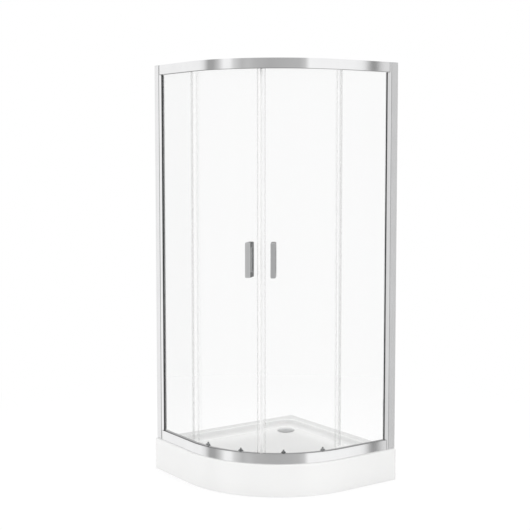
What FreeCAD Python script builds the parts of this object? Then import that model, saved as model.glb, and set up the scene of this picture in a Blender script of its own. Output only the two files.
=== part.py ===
"""Quadrant shower enclosure with two curved sliding doors on a deep quadrant tray.

The plan is a square with one corner replaced by a quarter circle.  Everything that
follows the curve is built about the centre of that circle, called the bend centre:
local X points outwards at the angle phi, and phi runs from 0 degrees where the left
straight meets the curve to 90 degrees where the curve meets the right straight.
Depths called w are measured inwards from the outer face of the rails.
"""
import FreeCAD
import Part
import Sketcher
import math
import os

doc = FreeCAD.newDocument("quadrant_enclosure")
sheet = doc.addObject("Spreadsheet::Sheet", "dims")


# ---------------------------------------------------------------- driving sizes
class Size:
    """A length or angle that carries its value and its formula over the sheet."""

    def __init__(self, value, text):
        self.value = float(value)
        self.text = text

    def __add__(self, other):
        other = as_size(other)
        return Size(self.value + other.value, "(%s + %s)" % (self.text, other.text))

    def __radd__(self, other):
        return as_size(other) + self

    def __sub__(self, other):
        other = as_size(other)
        return Size(self.value - other.value, "(%s - %s)" % (self.text, other.text))

    def __rsub__(self, other):
        return as_size(other) - self

    def __mul__(self, other):
        other = as_size(other)
        return Size(self.value * other.value, "(%s * %s)" % (self.text, other.text))

    def __rmul__(self, other):
        return as_size(other) * self

    def __truediv__(self, other):
        other = as_size(other)
        return Size(self.value / other.value, "(%s / %s)" % (self.text, other.text))

    def __neg__(self):
        return Size(-self.value, "(0 - %s)" % self.text)


def as_size(item):
    """Turn a plain number into a Size; leave a Size as it is."""
    if isinstance(item, Size):
        return item
    return Size(item, "%r" % item)


next_row = [1]


def size(alias, value, note):
    """Write one driving size into the sheet and return it as a Size."""
    cell = "B%d" % next_row[0]
    sheet.set("A%d" % next_row[0], note)
    sheet.set(cell, str(value))
    sheet.setAlias(cell, alias)
    next_row[0] += 1
    return Size(value, "dims." + alias)


side = size("side", 900, "tray side along each wall")
bend_radius = size("bend_radius", 550, "radius of the curved front of the tray")
tray_height = size("tray_height", 160, "height of the tray rim above the floor")
rim_width = size("rim_width", 60, "width of the flat rim")
basin_depth = size("basin_depth", 38, "depth of the basin below the rim")
basin_draft = size("basin_draft", 12, "slope of the basin wall in degrees")
basin_corner = size("basin_corner", 70, "corner radius of the basin in plan")
basin_blend = size("basin_blend", 22, "blend between basin wall and basin floor")
rim_round = size("rim_round", 7, "rounding of the rim edges")
skin = size("skin", 8, "thickness of the tray shell")
tray_corner = size("tray_corner", 12, "plan radius of the tray corners at the walls")
back_drop = size("back_drop", 50, "height of the downturned rim along the walls")
apron_return = size("apron_return", 40, "length the front apron turns along each wall")

drain_offset = size("drain_offset", 155, "distance of the drain from both walls")
drain_hole = size("drain_hole", 64, "bore of the drain hole in the tray")
recess_width = size("recess_width", 98, "diameter of the recess round the drain")
recess_depth = size("recess_depth", 4, "depth of the recess round the drain")
flange_width = size("flange_width", 86, "diameter of the waste flange")
flange_thick = size("flange_thick", 3, "thickness of the waste flange")
barrel_outer = size("barrel_outer", 60, "outer diameter of the waste barrel")
barrel_wall = size("barrel_wall", 3, "wall of the waste barrel")
pot_outer = size("pot_outer", 112, "outer diameter of the trap pot")
pot_wall = size("pot_wall", 3.5, "wall of the trap pot")
pot_bottom = size("pot_bottom", 26, "height of the trap pot above the floor")
spigot_outer = size("spigot_outer", 40, "outer diameter of the outlet spigot")
spigot_collar = size("spigot_collar", 47, "outer diameter of the collar behind the spigot")
spigot_reach = size("spigot_reach", 105, "outlet spigot end from the pot axis")
spigot_free = size("spigot_free", 45, "length of the spigot in front of its collar")
spigot_height = size("spigot_height", 62, "height of the outlet axis above the floor")
cup_outer = size("cup_outer", 44, "outer diameter of the trap insert")
cup_wall = size("cup_wall", 2, "wall of the trap insert")
cover_width = size("cover_width", 88, "diameter of the domed drain cover")
cover_rise = size("cover_rise", 3.5, "height of the domed drain cover")
cover_gap = size("cover_gap", 3, "water gap under the drain cover")
gasket_thick = size("gasket_thick", 3, "thickness of the waste gasket")

board_thick = size("board_thick", 12, "thickness of the reinforcing board")
board_inset = size("board_inset", 82, "inset of the board from the tray outline")
board_hole = size("board_hole", 130, "hole in the board round the trap")
leg_wide = size("leg_wide", 70, "side of the square leg plates")
leg_plate = size("leg_plate", 4, "thickness of the leg plates")
leg_rod = size("leg_rod", 12, "diameter of the leg studs")
leg_nut = size("leg_nut", 10, "height of the leg nuts")
foot_wide = size("foot_wide", 50, "diameter of the feet")
foot_tall = size("foot_tall", 14, "height of the feet")
leg_near = size("leg_near", 130, "distance of the wall-side legs from the wall")
leg_middle = size("leg_middle", 420, "position of the middle legs along the wall")
leg_far = size("leg_far", 725, "position of the outer legs along the wall")
leg_front = size("leg_front", 590, "position of the front leg from both walls")

enclosure_height = size("enclosure_height", 1950, "height of the glass enclosure")
rail_height = size("rail_height", 50, "height of both rails")
rail_inset = size("rail_inset", 12, "rail face behind the tray edge")
rail_depth = size("rail_depth", 33.5, "depth of both rails")
rail_end = size("rail_end", 55, "rail ends from the wall")
rail_wall = size("rail_wall", 2, "thickness of the rail fascia and webs")
rail_rib = size("rail_rib", 1.6, "thickness of the ribs beside the glass groove")
rail_lip = size("rail_lip", 3, "fascia height above the track flange")
track_wall = size("track_wall", 2, "thickness of the track flange")
fixed_depth = size("fixed_depth", 8.4, "outer face of the fixed panes behind the rail face")
glass_thick = size("glass_thick", 5, "thickness of the toughened glass")
glass_bite = size("glass_bite", 1, "space for the gasket on each side of the fixed glass")
groove_floor = size("groove_floor", 3, "floor of the glass groove in the rails")
gasket_base = size("gasket_base", 2, "gasket under the edge of the fixed glass")

wall_profile_face = size("wall_profile_face", 4, "wall profile behind the rail face")
wall_profile_deep = size("wall_profile_deep", 21, "depth of the wall profile")
wall_profile_wide = size("wall_profile_wide", 40, "width of the wall profile from the wall")
wall_profile_skin = size("wall_profile_skin", 1.6, "wall of the wall profile")
slide_gap = size("slide_gap", 0.2, "clearance of the post in the wall profile")
post_start = size("post_start", 12, "post back edge from the wall")
post_end = size("post_end", 65, "post front edge from the wall")
post_skin = size("post_skin", 1.6, "wall of the post")
pane_start = size("pane_start", 28, "fixed glass edge from the wall")
pane_past = size("pane_past", 10, "fixed glass end past the tangent point")
cap_thick = size("cap_thick", 2, "thickness of the caps on the wall profiles")
screw_shank = size("screw_shank", 4, "shank of the adjusting screws")
screw_head = size("screw_head", 8, "head of the adjusting screws")
screw_head_tall = size("screw_head_tall", 2.4, "head height of the adjusting screws")
screw_place = size("screw_place", 26, "adjusting screws from the wall")
screw_margin = size("screw_margin", 150, "adjusting screws from the profile ends")

door_depth = size("door_depth", 35, "outer face of the door glass behind the rail face")
door_bottom = size("door_bottom", 168, "lower edge of the door glass above the floor")
door_top_gap = size("door_top_gap", 18, "door glass below the top of the enclosure")
seal_reach = size("seal_reach", 11, "glass edge of a door from the meeting line")
seal_grip = size("seal_grip", 10, "seal grip on the glass")
seal_wall = size("seal_wall", 0.8, "wall of the push-on seals")
seal_gap = size("seal_gap", 0.2, "clearance of the seals on the glass")
magnet_wide = size("magnet_wide", 4.6, "width of the magnet chamber")
magnet_gap = size("magnet_gap", 0.15, "half gap between the closed magnet seals")
trail_past = size("trail_past", 6, "trailing glass edge past the tangent point")
lip_wall = size("lip_wall", 1.2, "thickness of the sealing lips")
lip_place = size("lip_place", 15, "fixed sealing lip past the tangent point")
lip_start = size("lip_start", 225, "lower end of the fixed sealing lip")
drip_leg = size("drip_leg", 8, "height of the drip seal leg on the glass")

wheel_outer = size("wheel_outer", 24, "diameter of the door wheels")
wheel_wide = size("wheel_wide", 5, "width of the door wheels")
wheel_depth = size("wheel_depth", 19.2, "wheel centre behind the rail face")
wheel_pin = size("wheel_pin", 6, "diameter of the wheel pins")
wheel_run = size("wheel_run", 0.05, "radial clearance of a wheel on its pin")
wheel_lift = size("wheel_lift", 0.3, "clearance between wheel and track")
shoulder = size("shoulder", 10, "diameter of the shoulder behind a wheel")
shank = size("shank", 8, "diameter of the roller shank through the glass")
glass_hole = size("glass_hole", 10, "holes in the door glass")
roller_trail_angle = size("roller_trail_angle", 9.1, "angle of the trailing rollers in degrees")
roller_lead_angle = size("roller_lead_angle", 32.5, "angle of the leading rollers in degrees")
cap_wide = size("cap_wide", 24, "diameter of the top roller caps")
cap_deep = size("cap_deep", 10, "depth of the top roller caps")
housing_wide = size("housing_wide", 28, "width of the bottom roller housings")
housing_deep = size("housing_deep", 12.5, "depth of the bottom roller housings")
housing_low = size("housing_low", 178, "lower end of the bottom roller housings")
housing_high = size("housing_high", 213.5, "upper end of the bottom roller housings")
button_wide = size("button_wide", 9.5, "diameter of the release buttons")
button_low = size("button_low", 204, "lower end of the release buttons")
button_high = size("button_high", 222.5, "upper end of the release buttons")
button_sink = size("button_sink", 4.5, "depth of the bore under a release button")
button_run = size("button_run", 0.1, "radial clearance of a release button")
stop_place = size("stop_place", 133, "door stops from the tangent point")
stop_long = size("stop_long", 18, "length of the door stops")

handle_height = size("handle_height", 1150, "height of the handle centres")
handle_long = size("handle_long", 171, "overall height of the handles")
handle_wide = size("handle_wide", 25, "width of the handle bars")
handle_thick = size("handle_thick", 10, "thickness of the handle bars")
handle_reach = size("handle_reach", 33, "projection of a handle from the glass")
handle_leg = size("handle_leg", 25, "height of the handle legs")
handle_corner = size("handle_corner", 5, "corner radius of the handles, seen from the front")
handle_washer = size("handle_washer", 20, "diameter of the handle washers")
handle_angle = size("handle_angle", 6.7, "handles from the meeting line in degrees")
handle_round = size("handle_round", 2.5, "rounding of the handle bars")
stud_wide = size("stud_wide", 6, "diameter of the handle studs")
stud_bite = size("stud_bite", 8, "depth of the handle studs in the legs")
washer_thick = size("washer_thick", 1, "thickness of the handle washers")
seat_gap = size("seat_gap", 0.15, "clearance of flat pieces on the curved glass")
fit_gap = size("fit_gap", 0.1, "radial clearance of fasteners in their holes")

# ---------------------------------------------------------------- derived sizes
bend_x = side / 2 - bend_radius
bend_y = bend_radius - side / 2
straight = side - bend_radius
wall_line = -straight
rail_radius = bend_radius - rail_inset
rail_low = tray_height
rail_high = tray_height + rail_height
top = tray_height + enclosure_height
top_rail_low = top - rail_height
glass_out = rail_radius - door_depth
glass_in = glass_out - glass_thick
glass_top = top - door_top_gap
glass_tall = glass_top - door_bottom
track_under = rail_height - rail_lip - track_wall
wheel_radius = rail_radius - wheel_depth
wheel_low = rail_low + track_under - wheel_lift - wheel_outer / 2
wheel_high = top - track_under + wheel_lift + wheel_outer / 2
groove_out = fixed_depth - glass_bite
groove_in = fixed_depth + glass_thick + glass_bite
rib_in = groove_in + rail_rib
pane_low = rail_low + groove_floor + gasket_base
pane_high = top - groove_floor - gasket_base
basin_floor = tray_height - basin_depth
floor_under = basin_floor - skin
drain_x = -straight + drain_offset
drain_y = straight - drain_offset
lead_angle = 45 - seal_reach / glass_out * 57.29578
trail_angle = trail_past / glass_out * 57.29578
handle_bolt = handle_long / 2 - handle_leg / 2
zero = as_size(0)
full_turn = as_size(360)


# ---------------------------------------------------------------- building tools
def plane_of(body, role):
    """Find one origin plane or axis of a body by its role."""
    for feature in body.Origin.OriginFeatures:
        if feature.Role == role:
            return feature
    raise ValueError(role)


def place(item, x, y, z, turn):
    """Bind the position of a piece and its turn about the vertical to the sheet."""
    item.Placement = FreeCAD.Placement(
        FreeCAD.Vector(x.value, y.value, z.value),
        FreeCAD.Rotation(FreeCAD.Vector(0, 0, 1), turn.value),
    )
    item.setExpression("Placement.Base.x", x.text)
    item.setExpression("Placement.Base.y", y.text)
    item.setExpression("Placement.Base.z", z.text)
    item.setExpression("Placement.Rotation.Angle", turn.text)


def new_body(label, phi=zero, height=zero):
    """Start a body at the bend centre with local X pointing outwards at angle phi."""
    body = doc.addObject("PartDesign::Body", label)
    body.Label = label
    place(body, bend_x, bend_y, as_size(height), as_size(phi) - 90)
    return body


def pin_point(sketch, geo, pos, x=None, y=None):
    """Tie one sketch point to the sheet in X, in Y or in both."""
    if x is not None:
        index = sketch.addConstraint(Sketcher.Constraint("DistanceX", geo, pos, x.value))
        sketch.setExpression("Constraints[%d]" % index, x.text)
    if y is not None:
        index = sketch.addConstraint(Sketcher.Constraint("DistanceY", geo, pos, y.value))
        sketch.setExpression("Constraints[%d]" % index, y.text)


def pin_radius(sketch, geo, radius):
    """Tie the radius of a circle or an arc to the sheet."""
    index = sketch.addConstraint(Sketcher.Constraint("Radius", geo, radius.value))
    sketch.setExpression("Constraints[%d]" % index, radius.text)


def new_sketch(body, role, lift=None):
    """Attach an empty sketch to an origin plane of its own body, lifted if asked."""
    sketch = body.newObject("Sketcher::SketchObject", body.Label + "_sketch")
    sketch.AttachmentSupport = (plane_of(body, role), [""])
    sketch.MapMode = "FlatFace"
    if lift is not None:
        lift = as_size(lift)
        sketch.AttachmentOffset = FreeCAD.Placement(
            FreeCAD.Vector(0, 0, lift.value), FreeCAD.Rotation()
        )
        sketch.setExpression("AttachmentOffset.Base.z", lift.text)
    return sketch


def add_ring(sketch, corners):
    """Draw a closed outline through corners that are all tied to the sheet."""
    corners = [(as_size(x), as_size(y)) for x, y in corners]
    points = [FreeCAD.Vector(x.value, y.value, 0) for x, y in corners]
    count = len(points)
    first = sketch.GeometryCount
    for index in range(count):
        following = (index + 1) % count
        sketch.addGeometry(Part.LineSegment(points[index], points[following]), False)
    for index in range(count):
        following = (index + 1) % count
        sketch.addConstraint(
            Sketcher.Constraint("Coincident", first + index, 2, first + following, 1)
        )
        pin_point(sketch, first + index, 1, corners[index][0], corners[index][1])


def add_circle(sketch, x, y, radius):
    """Draw a circle tied to the sheet."""
    x = as_size(x)
    y = as_size(y)
    radius = as_size(radius)
    centre = FreeCAD.Vector(x.value, y.value, 0)
    geo = sketch.addGeometry(
        Part.Circle(centre, FreeCAD.Vector(0, 0, 1), radius.value), False
    )
    pin_point(sketch, geo, 3, x, y)
    pin_radius(sketch, geo, radius)


def add_slot(sketch, x, y, half, radius):
    """Draw an upright stadium: two half circles joined by two straight sides."""
    x = as_size(x)
    low = y - half
    high = y + half
    normal = FreeCAD.Vector(0, 0, 1)
    upper = Part.Circle(FreeCAD.Vector(x.value, high.value, 0), normal, radius.value)
    lower = Part.Circle(FreeCAD.Vector(x.value, low.value, 0), normal, radius.value)
    right = x.value + radius.value
    left = x.value - radius.value
    arc_up = sketch.addGeometry(Part.ArcOfCircle(upper, 0, math.pi), False)
    line_left = sketch.addGeometry(
        Part.LineSegment(FreeCAD.Vector(left, high.value, 0), FreeCAD.Vector(left, low.value, 0)),
        False,
    )
    arc_low = sketch.addGeometry(Part.ArcOfCircle(lower, math.pi, 2 * math.pi), False)
    line_right = sketch.addGeometry(
        Part.LineSegment(FreeCAD.Vector(right, low.value, 0), FreeCAD.Vector(right, high.value, 0)),
        False,
    )
    for one, one_end, other, other_end in (
        (arc_up, 2, line_left, 1),
        (line_left, 2, arc_low, 1),
        (arc_low, 2, line_right, 1),
        (line_right, 2, arc_up, 1),
    ):
        sketch.addConstraint(Sketcher.Constraint("Coincident", one, one_end, other, other_end))
    pin_point(sketch, arc_up, 3, x, high)
    pin_point(sketch, arc_low, 3, x, low)
    pin_radius(sketch, arc_up, radius)
    pin_radius(sketch, arc_low, radius)
    pin_point(sketch, line_left, 1, y=high)
    pin_point(sketch, line_left, 2, y=low)
    pin_point(sketch, line_right, 1, y=low)
    pin_point(sketch, line_right, 2, y=high)


def add_outline(sketch, inset):
    """Draw the quadrant outline of the tray, moved inwards by inset."""
    near = -straight + inset
    far = straight - inset
    reach = bend_radius - inset
    corner = FreeCAD.Vector(near.value, far.value, 0)
    right_back = FreeCAD.Vector(reach.value, far.value, 0)
    right_front = FreeCAD.Vector(reach.value, 0, 0)
    left_front = FreeCAD.Vector(0, -reach.value, 0)
    left_back = FreeCAD.Vector(near.value, -reach.value, 0)
    back = sketch.addGeometry(Part.LineSegment(corner, right_back), False)
    right = sketch.addGeometry(Part.LineSegment(right_back, right_front), False)
    circle = Part.Circle(FreeCAD.Vector(0, 0, 0), FreeCAD.Vector(0, 0, 1), reach.value)
    front = sketch.addGeometry(Part.ArcOfCircle(circle, -math.pi / 2, 0), False)
    bottom = sketch.addGeometry(Part.LineSegment(left_front, left_back), False)
    left = sketch.addGeometry(Part.LineSegment(left_back, corner), False)
    for one, one_end, other, other_end in (
        (back, 2, right, 1),
        (right, 2, front, 2),
        (front, 1, bottom, 1),
        (bottom, 2, left, 1),
        (left, 2, back, 1),
    ):
        sketch.addConstraint(Sketcher.Constraint("Coincident", one, one_end, other, other_end))
    sketch.addConstraint(Sketcher.Constraint("Coincident", front, 3, -1, 1))
    for line in (back, bottom):
        sketch.addConstraint(Sketcher.Constraint("Horizontal", line))
    for line in (right, left):
        sketch.addConstraint(Sketcher.Constraint("Vertical", line))
    pin_point(sketch, back, 1, near, far)
    pin_point(sketch, right, 2, reach, zero)
    pin_point(sketch, bottom, 1, x=zero)


def pad(body, sketch, length, reverse=False):
    """Extrude a sketch away from its plane, or backwards."""
    feature = body.newObject("PartDesign::Pad", body.Label + "_pad")
    feature.Profile = sketch
    feature.Reversed = reverse
    feature.setExpression("Length", as_size(length).text)
    return feature


def pocket(body, sketch, length, reverse=False):
    """Cut a sketch below its plane, or above it when reversed."""
    feature = body.newObject("PartDesign::Pocket", body.Label + "_pocket")
    feature.Profile = sketch
    feature.Reversed = reverse
    feature.setExpression("Length", as_size(length).text)
    return feature


def revolve(body, sketch, axis, angle):
    """Turn a section about the H or V axis of its own sketch."""
    feature = body.newObject("PartDesign::Revolution", body.Label + "_turn")
    feature.Profile = sketch
    feature.ReferenceAxis = (sketch, [axis])
    feature.setExpression("Angle", as_size(angle).text)
    return feature


def edges_where(shape, test):
    """Name the edges of a shape whose bounding box passes a test."""
    names = []
    for index, edge in enumerate(shape.Edges):
        if test(edge, edge.BoundBox):
            names.append("Edge%d" % (index + 1))
    return names


def soften(body, kind, radius, test):
    """Fillet or chamfer the edges of the body so far that pass a test."""
    doc.recompute()
    base = body.Tip
    names = edges_where(base.Shape, test)
    if not names:
        raise ValueError("no edges to soften on " + body.Label)
    feature = body.newObject("PartDesign::" + kind, body.Label + "_" + kind.lower())
    feature.Base = (base, names)
    prop = "Radius" if kind == "Fillet" else "Size"
    feature.setExpression(prop, as_size(radius).text)
    return feature


def at_height(box, height):
    """Tell whether a bounding box lies flat at a height."""
    return abs(box.ZMin - height) < 0.01 and abs(box.ZMax - height) < 0.01


def plan_piece(label, phi, rings, low, high):
    """Extrude a plan section, drawn as radius and distance along, between two heights."""
    body = new_body(label, phi)
    sketch = new_sketch(body, "XY_Plane", low)
    for ring in rings:
        add_ring(sketch, ring)
    pad(body, sketch, high - low)
    return body


def arc_piece(label, start, end, rings):
    """Turn an upright section, drawn as radius and height, from one angle to another."""
    body = new_body(label, start)
    sketch = new_sketch(body, "XZ_Plane")
    for ring in rings:
        add_ring(sketch, ring)
    revolve(body, sketch, "V_Axis", end - start)
    return body


def box_ring(a_low, a_high, b_low, b_high):
    """Corners of a rectangle."""
    return [(a_low, b_low), (a_high, b_low), (a_high, b_high), (a_low, b_high)]


def group(label, members):
    """Collect separate identical solids under one name."""
    compound = doc.addObject("Part::Compound", label)
    compound.Label = label
    compound.Links = members
    return compound


nodes = []


def keep(item):
    """List a finished sub-part for writing."""
    nodes.append(item)
    return item


def depth(w):
    """Radius at a depth behind the rail face."""
    return rail_radius - w


# ---------------------------------------------------------------- tray
def build_tray():
    """Shell tray: front apron to the floor, flat rim, dished basin and drain recess."""
    body = new_body("shower_tray", as_size(90))
    sketch = new_sketch(body, "XY_Plane")
    add_outline(sketch, zero)
    pad(body, sketch, tray_height)
    reach = bend_radius.value
    flat = straight.value

    def plan_corner(edge, box):
        upright = box.ZLength > 1 and box.XLength < 0.01 and box.YLength < 0.01
        right = abs(box.XMin - reach) < 0.01 and abs(box.YMin - flat) < 0.01
        left = abs(box.XMin + flat) < 0.01 and abs(box.YMin + reach) < 0.01
        return upright and (right or left)

    soften(body, "Fillet", tray_corner, plan_corner)
    basin = new_sketch(body, "XY_Plane", tray_height)
    add_outline(basin, rim_width)
    cut = pocket(body, basin, basin_depth)
    cut.setExpression("TaperAngle", (-basin_draft).text)

    def basin_side(edge, box):
        inside = box.ZMin > basin_floor.value - 0.01 and box.ZLength > 1
        return inside and box.ZMax < tray_height.value + 0.01

    soften(body, "Fillet", basin_corner, basin_side)
    soften(body, "Fillet", basin_blend, lambda edge, box: at_height(box, basin_floor.value))
    soften(
        body,
        "Fillet",
        rim_round,
        lambda edge, box: at_height(box, tray_height.value) and not along_wall(box),
    )
    hollow = new_sketch(body, "XY_Plane")
    add_outline(hollow, skin)
    pocket(body, hollow, floor_under, reverse=True)
    ring = new_sketch(body, "XY_Plane")
    add_outline(ring, skin)
    add_outline(ring, rim_width - skin)
    pocket(body, ring, tray_height - skin, reverse=True)
    recess = new_sketch(body, "XY_Plane", basin_floor)
    add_circle(recess, drain_x, drain_y, recess_width / 2)
    pocket(body, recess, recess_depth)
    hole = new_sketch(body, "XY_Plane", basin_floor)
    add_circle(hole, drain_x, drain_y, drain_hole / 2)
    pocket(body, hole, basin_depth)
    open_low = tray_height - back_drop
    open_wall = new_sketch(body, "XY_Plane")
    near = -straight
    add_ring(
        open_wall,
        [
            (near - 1, -bend_radius + apron_return),
            (near + skin + 1, -bend_radius + apron_return),
            (near + skin + 1, straight - skin - 1),
            (bend_radius - apron_return, straight - skin - 1),
            (bend_radius - apron_return, straight + 1),
            (near - 1, straight + 1),
        ],
    )
    pocket(body, open_wall, open_low, reverse=True)
    return keep(body)


def along_wall(box):
    """Tell whether a flat edge lies against one of the two walls."""
    flat = straight.value
    against_left = abs(box.XMin + flat) < 0.01 and box.XLength < 0.01
    against_back = abs(box.YMax - flat) < 0.01 and box.YLength < 0.01
    return against_left or against_back


def build_board():
    """Reinforcing board bonded under the basin floor, holed round the trap."""
    body = new_body("base_board", as_size(90))
    sketch = new_sketch(body, "XY_Plane", floor_under - board_thick)
    add_outline(sketch, board_inset)
    add_circle(sketch, drain_x, drain_y, board_hole / 2)
    pad(body, sketch, board_thick)
    return keep(body)


def build_legs():
    """Levelling legs: plate under the board, stud with its nut and foot at five places."""
    spots = (
        (leg_near, leg_middle),
        (leg_middle, leg_near),
        (leg_near, leg_far),
        (leg_far, leg_near),
        (leg_front, leg_front),
    )
    plate_top = floor_under - board_thick
    plate_low = plate_top - leg_plate
    pieces = {"leg_plates": [], "leg_studs": [], "leg_feet": []}
    for index, (from_left, from_back) in enumerate(spots):
        x = -(side / 2) + from_left
        y = side / 2 - from_back
        plate = doc.addObject("Part::Box", "leg_plate_blank")
        plate.setExpression("Length", leg_wide.text)
        plate.setExpression("Width", leg_wide.text)
        plate.setExpression("Height", leg_plate.text)
        place(plate, x - leg_wide / 2, y - leg_wide / 2, plate_low, zero)
        bore = doc.addObject("Part::Cylinder", "leg_plate_bore")
        bore.setExpression("Radius", (leg_rod / 2 + fit_gap).text)
        bore.setExpression("Height", leg_plate.text)
        place(bore, x, y, plate_low, zero)
        drilled = doc.addObject("Part::Cut", "leg_plate_drilled")
        drilled.Base = plate
        drilled.Tool = bore
        pieces["leg_plates"].append(drilled)
        nut = doc.addObject("Part::Prism", "leg_nut_blank")
        nut.Polygon = 6
        nut.setExpression("Circumradius", (leg_rod * 0.95).text)
        nut.setExpression("Height", leg_nut.text)
        place(nut, x, y, plate_low - leg_nut, zero)
        thread = doc.addObject("Part::Cylinder", "leg_nut_bore")
        thread.setExpression("Radius", (leg_rod / 2 + fit_gap).text)
        thread.setExpression("Height", leg_nut.text)
        place(thread, x, y, plate_low - leg_nut, zero)
        tapped = doc.addObject("Part::Cut", "leg_nut_tapped")
        tapped.Base = nut
        tapped.Tool = thread
        pieces["leg_studs"].append(tapped)
        stud = doc.addObject("Part::Cylinder", "leg_stud")
        stud.setExpression("Radius", (leg_rod / 2).text)
        stud.setExpression("Height", (plate_top - foot_tall).text)
        place(stud, x, y, foot_tall, zero)
        pieces["leg_studs"].append(stud)
        pieces["leg_feet"].append(build_foot(x, y))
    for label, members in pieces.items():
        keep(group(label, members))


def build_foot(x, y):
    """A turned plastic foot with a broad pad and a raised neck."""
    body = doc.addObject("PartDesign::Body", "leg_foot")
    place(body, x, y, zero, zero)
    sketch = new_sketch(body, "XZ_Plane")
    add_ring(
        sketch,
        [
            (zero, zero),
            (foot_wide / 2, zero),
            (foot_wide / 2, foot_tall * 0.3),
            (leg_rod * 0.9, foot_tall * 0.6),
            (leg_rod * 0.9, foot_tall),
            (zero, foot_tall),
        ],
    )
    revolve(body, sketch, "V_Axis", full_turn)
    return body


def drain_body(label):
    """Start a body on the drain axis."""
    body = doc.addObject("PartDesign::Body", label)
    body.Label = label
    place(body, -(side / 2) + drain_offset, side / 2 - drain_offset, zero, zero)
    return body


def build_drain():
    """Waste flange, gasket, trap pot with outlet spigot, lift-out insert and cover."""
    seat = basin_floor - recess_depth
    flange_top = seat + flange_thick
    gasket_low = floor_under - gasket_thick
    barrel = barrel_outer / 2
    bore = barrel - barrel_wall
    barrel_low = gasket_low - 14
    flange = drain_body("waste_flange")
    sketch = new_sketch(flange, "XZ_Plane")
    add_ring(
        sketch,
        [
            (bore, barrel_low),
            (barrel, barrel_low),
            (barrel, seat),
            (flange_width / 2, seat),
            (flange_width / 2, seat + flange_thick * 0.4),
            (flange_width / 2 - flange_thick, flange_top),
            (bore, flange_top),
        ],
    )
    revolve(flange, sketch, "V_Axis", full_turn)
    keep(flange)

    gasket = drain_body("waste_gasket")
    sketch = new_sketch(gasket, "XZ_Plane")
    add_ring(sketch, box_ring(barrel + 0.3, pot_outer / 2, gasket_low, floor_under))
    revolve(gasket, sketch, "V_Axis", full_turn)
    keep(gasket)

    pot = drain_body("trap_body")
    outer = pot_outer / 2
    inner = outer - pot_wall
    neck = barrel + 0.2
    sketch = new_sketch(pot, "XZ_Plane")
    add_ring(
        sketch,
        [
            (zero, pot_bottom),
            (outer - 8, pot_bottom),
            (outer, pot_bottom + 8),
            (outer, gasket_low),
            (neck, gasket_low),
            (neck, barrel_low),
            (inner, barrel_low - 3),
            (inner, pot_bottom + 8 + pot_wall),
            (inner - 8, pot_bottom + pot_wall),
            (zero, pot_bottom + pot_wall),
        ],
    )
    revolve(pot, sketch, "V_Axis", full_turn)
    spigot = new_sketch(pot, "YZ_Plane", -spigot_reach)
    add_circle(spigot, zero, spigot_height, spigot_outer / 2)
    pad(pot, spigot, spigot_reach - inner - 1)
    collar = new_sketch(pot, "YZ_Plane", spigot_free - spigot_reach)
    add_circle(collar, zero, spigot_height, spigot_collar / 2)
    pad(pot, collar, spigot_reach - spigot_free - inner - 1)
    bore_end = new_sketch(pot, "YZ_Plane", -spigot_reach)
    add_circle(bore_end, zero, spigot_height, spigot_outer / 2 - barrel_wall)
    pocket(pot, bore_end, spigot_reach - inner + 2, reverse=True)
    keep(pot)

    cup = drain_body("trap_insert")
    cup_radius = cup_outer / 2
    cup_low = pot_bottom + pot_wall + 10
    sketch = new_sketch(cup, "XZ_Plane")
    add_ring(
        sketch,
        [
            (cup_radius - cup_wall, cup_low),
            (cup_radius, cup_low),
            (cup_radius, flange_top - 6),
            (bore - 0.3, flange_top - 6),
            (bore - 0.3, flange_top - 3),
            (cup_radius - cup_wall, flange_top - 3),
        ],
    )
    revolve(cup, sketch, "V_Axis", full_turn)
    keep(cup)

    cover = drain_body("drain_cover")
    rim = cover_width / 2
    low = flange_top + cover_gap
    crown = low + cover_rise
    sketch = new_sketch(cover, "XZ_Plane")
    add_ring(
        sketch,
        [
            (zero, low + 2),
            (rim * 0.6, low + 1.6),
            (rim - 3, low),
            (rim, low),
            (rim, low + 1.5),
            (rim * 0.88, low + cover_rise * 0.55),
            (rim * 0.62, low + cover_rise * 0.85),
            (rim * 0.3, low + cover_rise * 0.97),
            (zero, crown),
        ],
    )
    revolve(cover, sketch, "V_Axis", full_turn)
    feet = new_sketch(cover, "XY_Plane", flange_top + 0.05)
    for turn in (90, 210, 330):
        angle = math.radians(turn)
        reach = flange_width / 2 - flange_thick - 3.5
        add_circle(feet, reach * math.cos(angle), reach * math.sin(angle), 2.5)
    pad(cover, feet, cover_gap + 1)
    keep(cover)


# ---------------------------------------------------------------- rails and posts
def rail_rings(base, direction):
    """Section of a rail: fascia, hollow front chamber, glass groove and track flange."""
    far = rail_height
    flange_in = far - rail_lip
    flange_under = track_under

    def point(w, height):
        return (depth(w), base + direction * as_size(height))

    outer = [
        point(zero, zero),
        point(rail_depth, zero),
        point(rail_depth, rail_wall),
        point(rib_in, rail_wall),
        point(rib_in, flange_under),
        point(rail_depth, flange_under),
        point(rail_depth, flange_in),
        point(groove_in, flange_in),
        point(groove_in, groove_floor),
        point(groove_out, groove_floor),
        point(groove_out, flange_in),
        point(rail_wall, flange_in),
        point(rail_wall, far),
        point(zero, far),
    ]
    chamber = [
        point(rail_wall, rail_wall),
        point(groove_out - rail_rib, rail_wall),
        point(groove_out - rail_rib, flange_in - rail_wall),
        point(rail_wall, flange_in - rail_wall),
    ]
    return [outer, chamber]


def build_rail(label, base, direction):
    """One bent rail: quarter turn about the bend centre with a straight at each end."""
    body = new_body(label)
    rings = rail_rings(base, direction)
    section = new_sketch(body, "XZ_Plane")
    for ring in rings:
        add_ring(section, ring)
    revolve(body, section, "V_Axis", as_size(90))
    run = straight - rail_end
    left = new_sketch(body, "XZ_Plane")
    for ring in rings:
        add_ring(left, ring)
    pad(body, left, run)
    right = new_sketch(body, "YZ_Plane")
    for ring in rings:
        add_ring(right, ring)
    pad(body, right, run, reverse=True)
    return keep(body)


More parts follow.
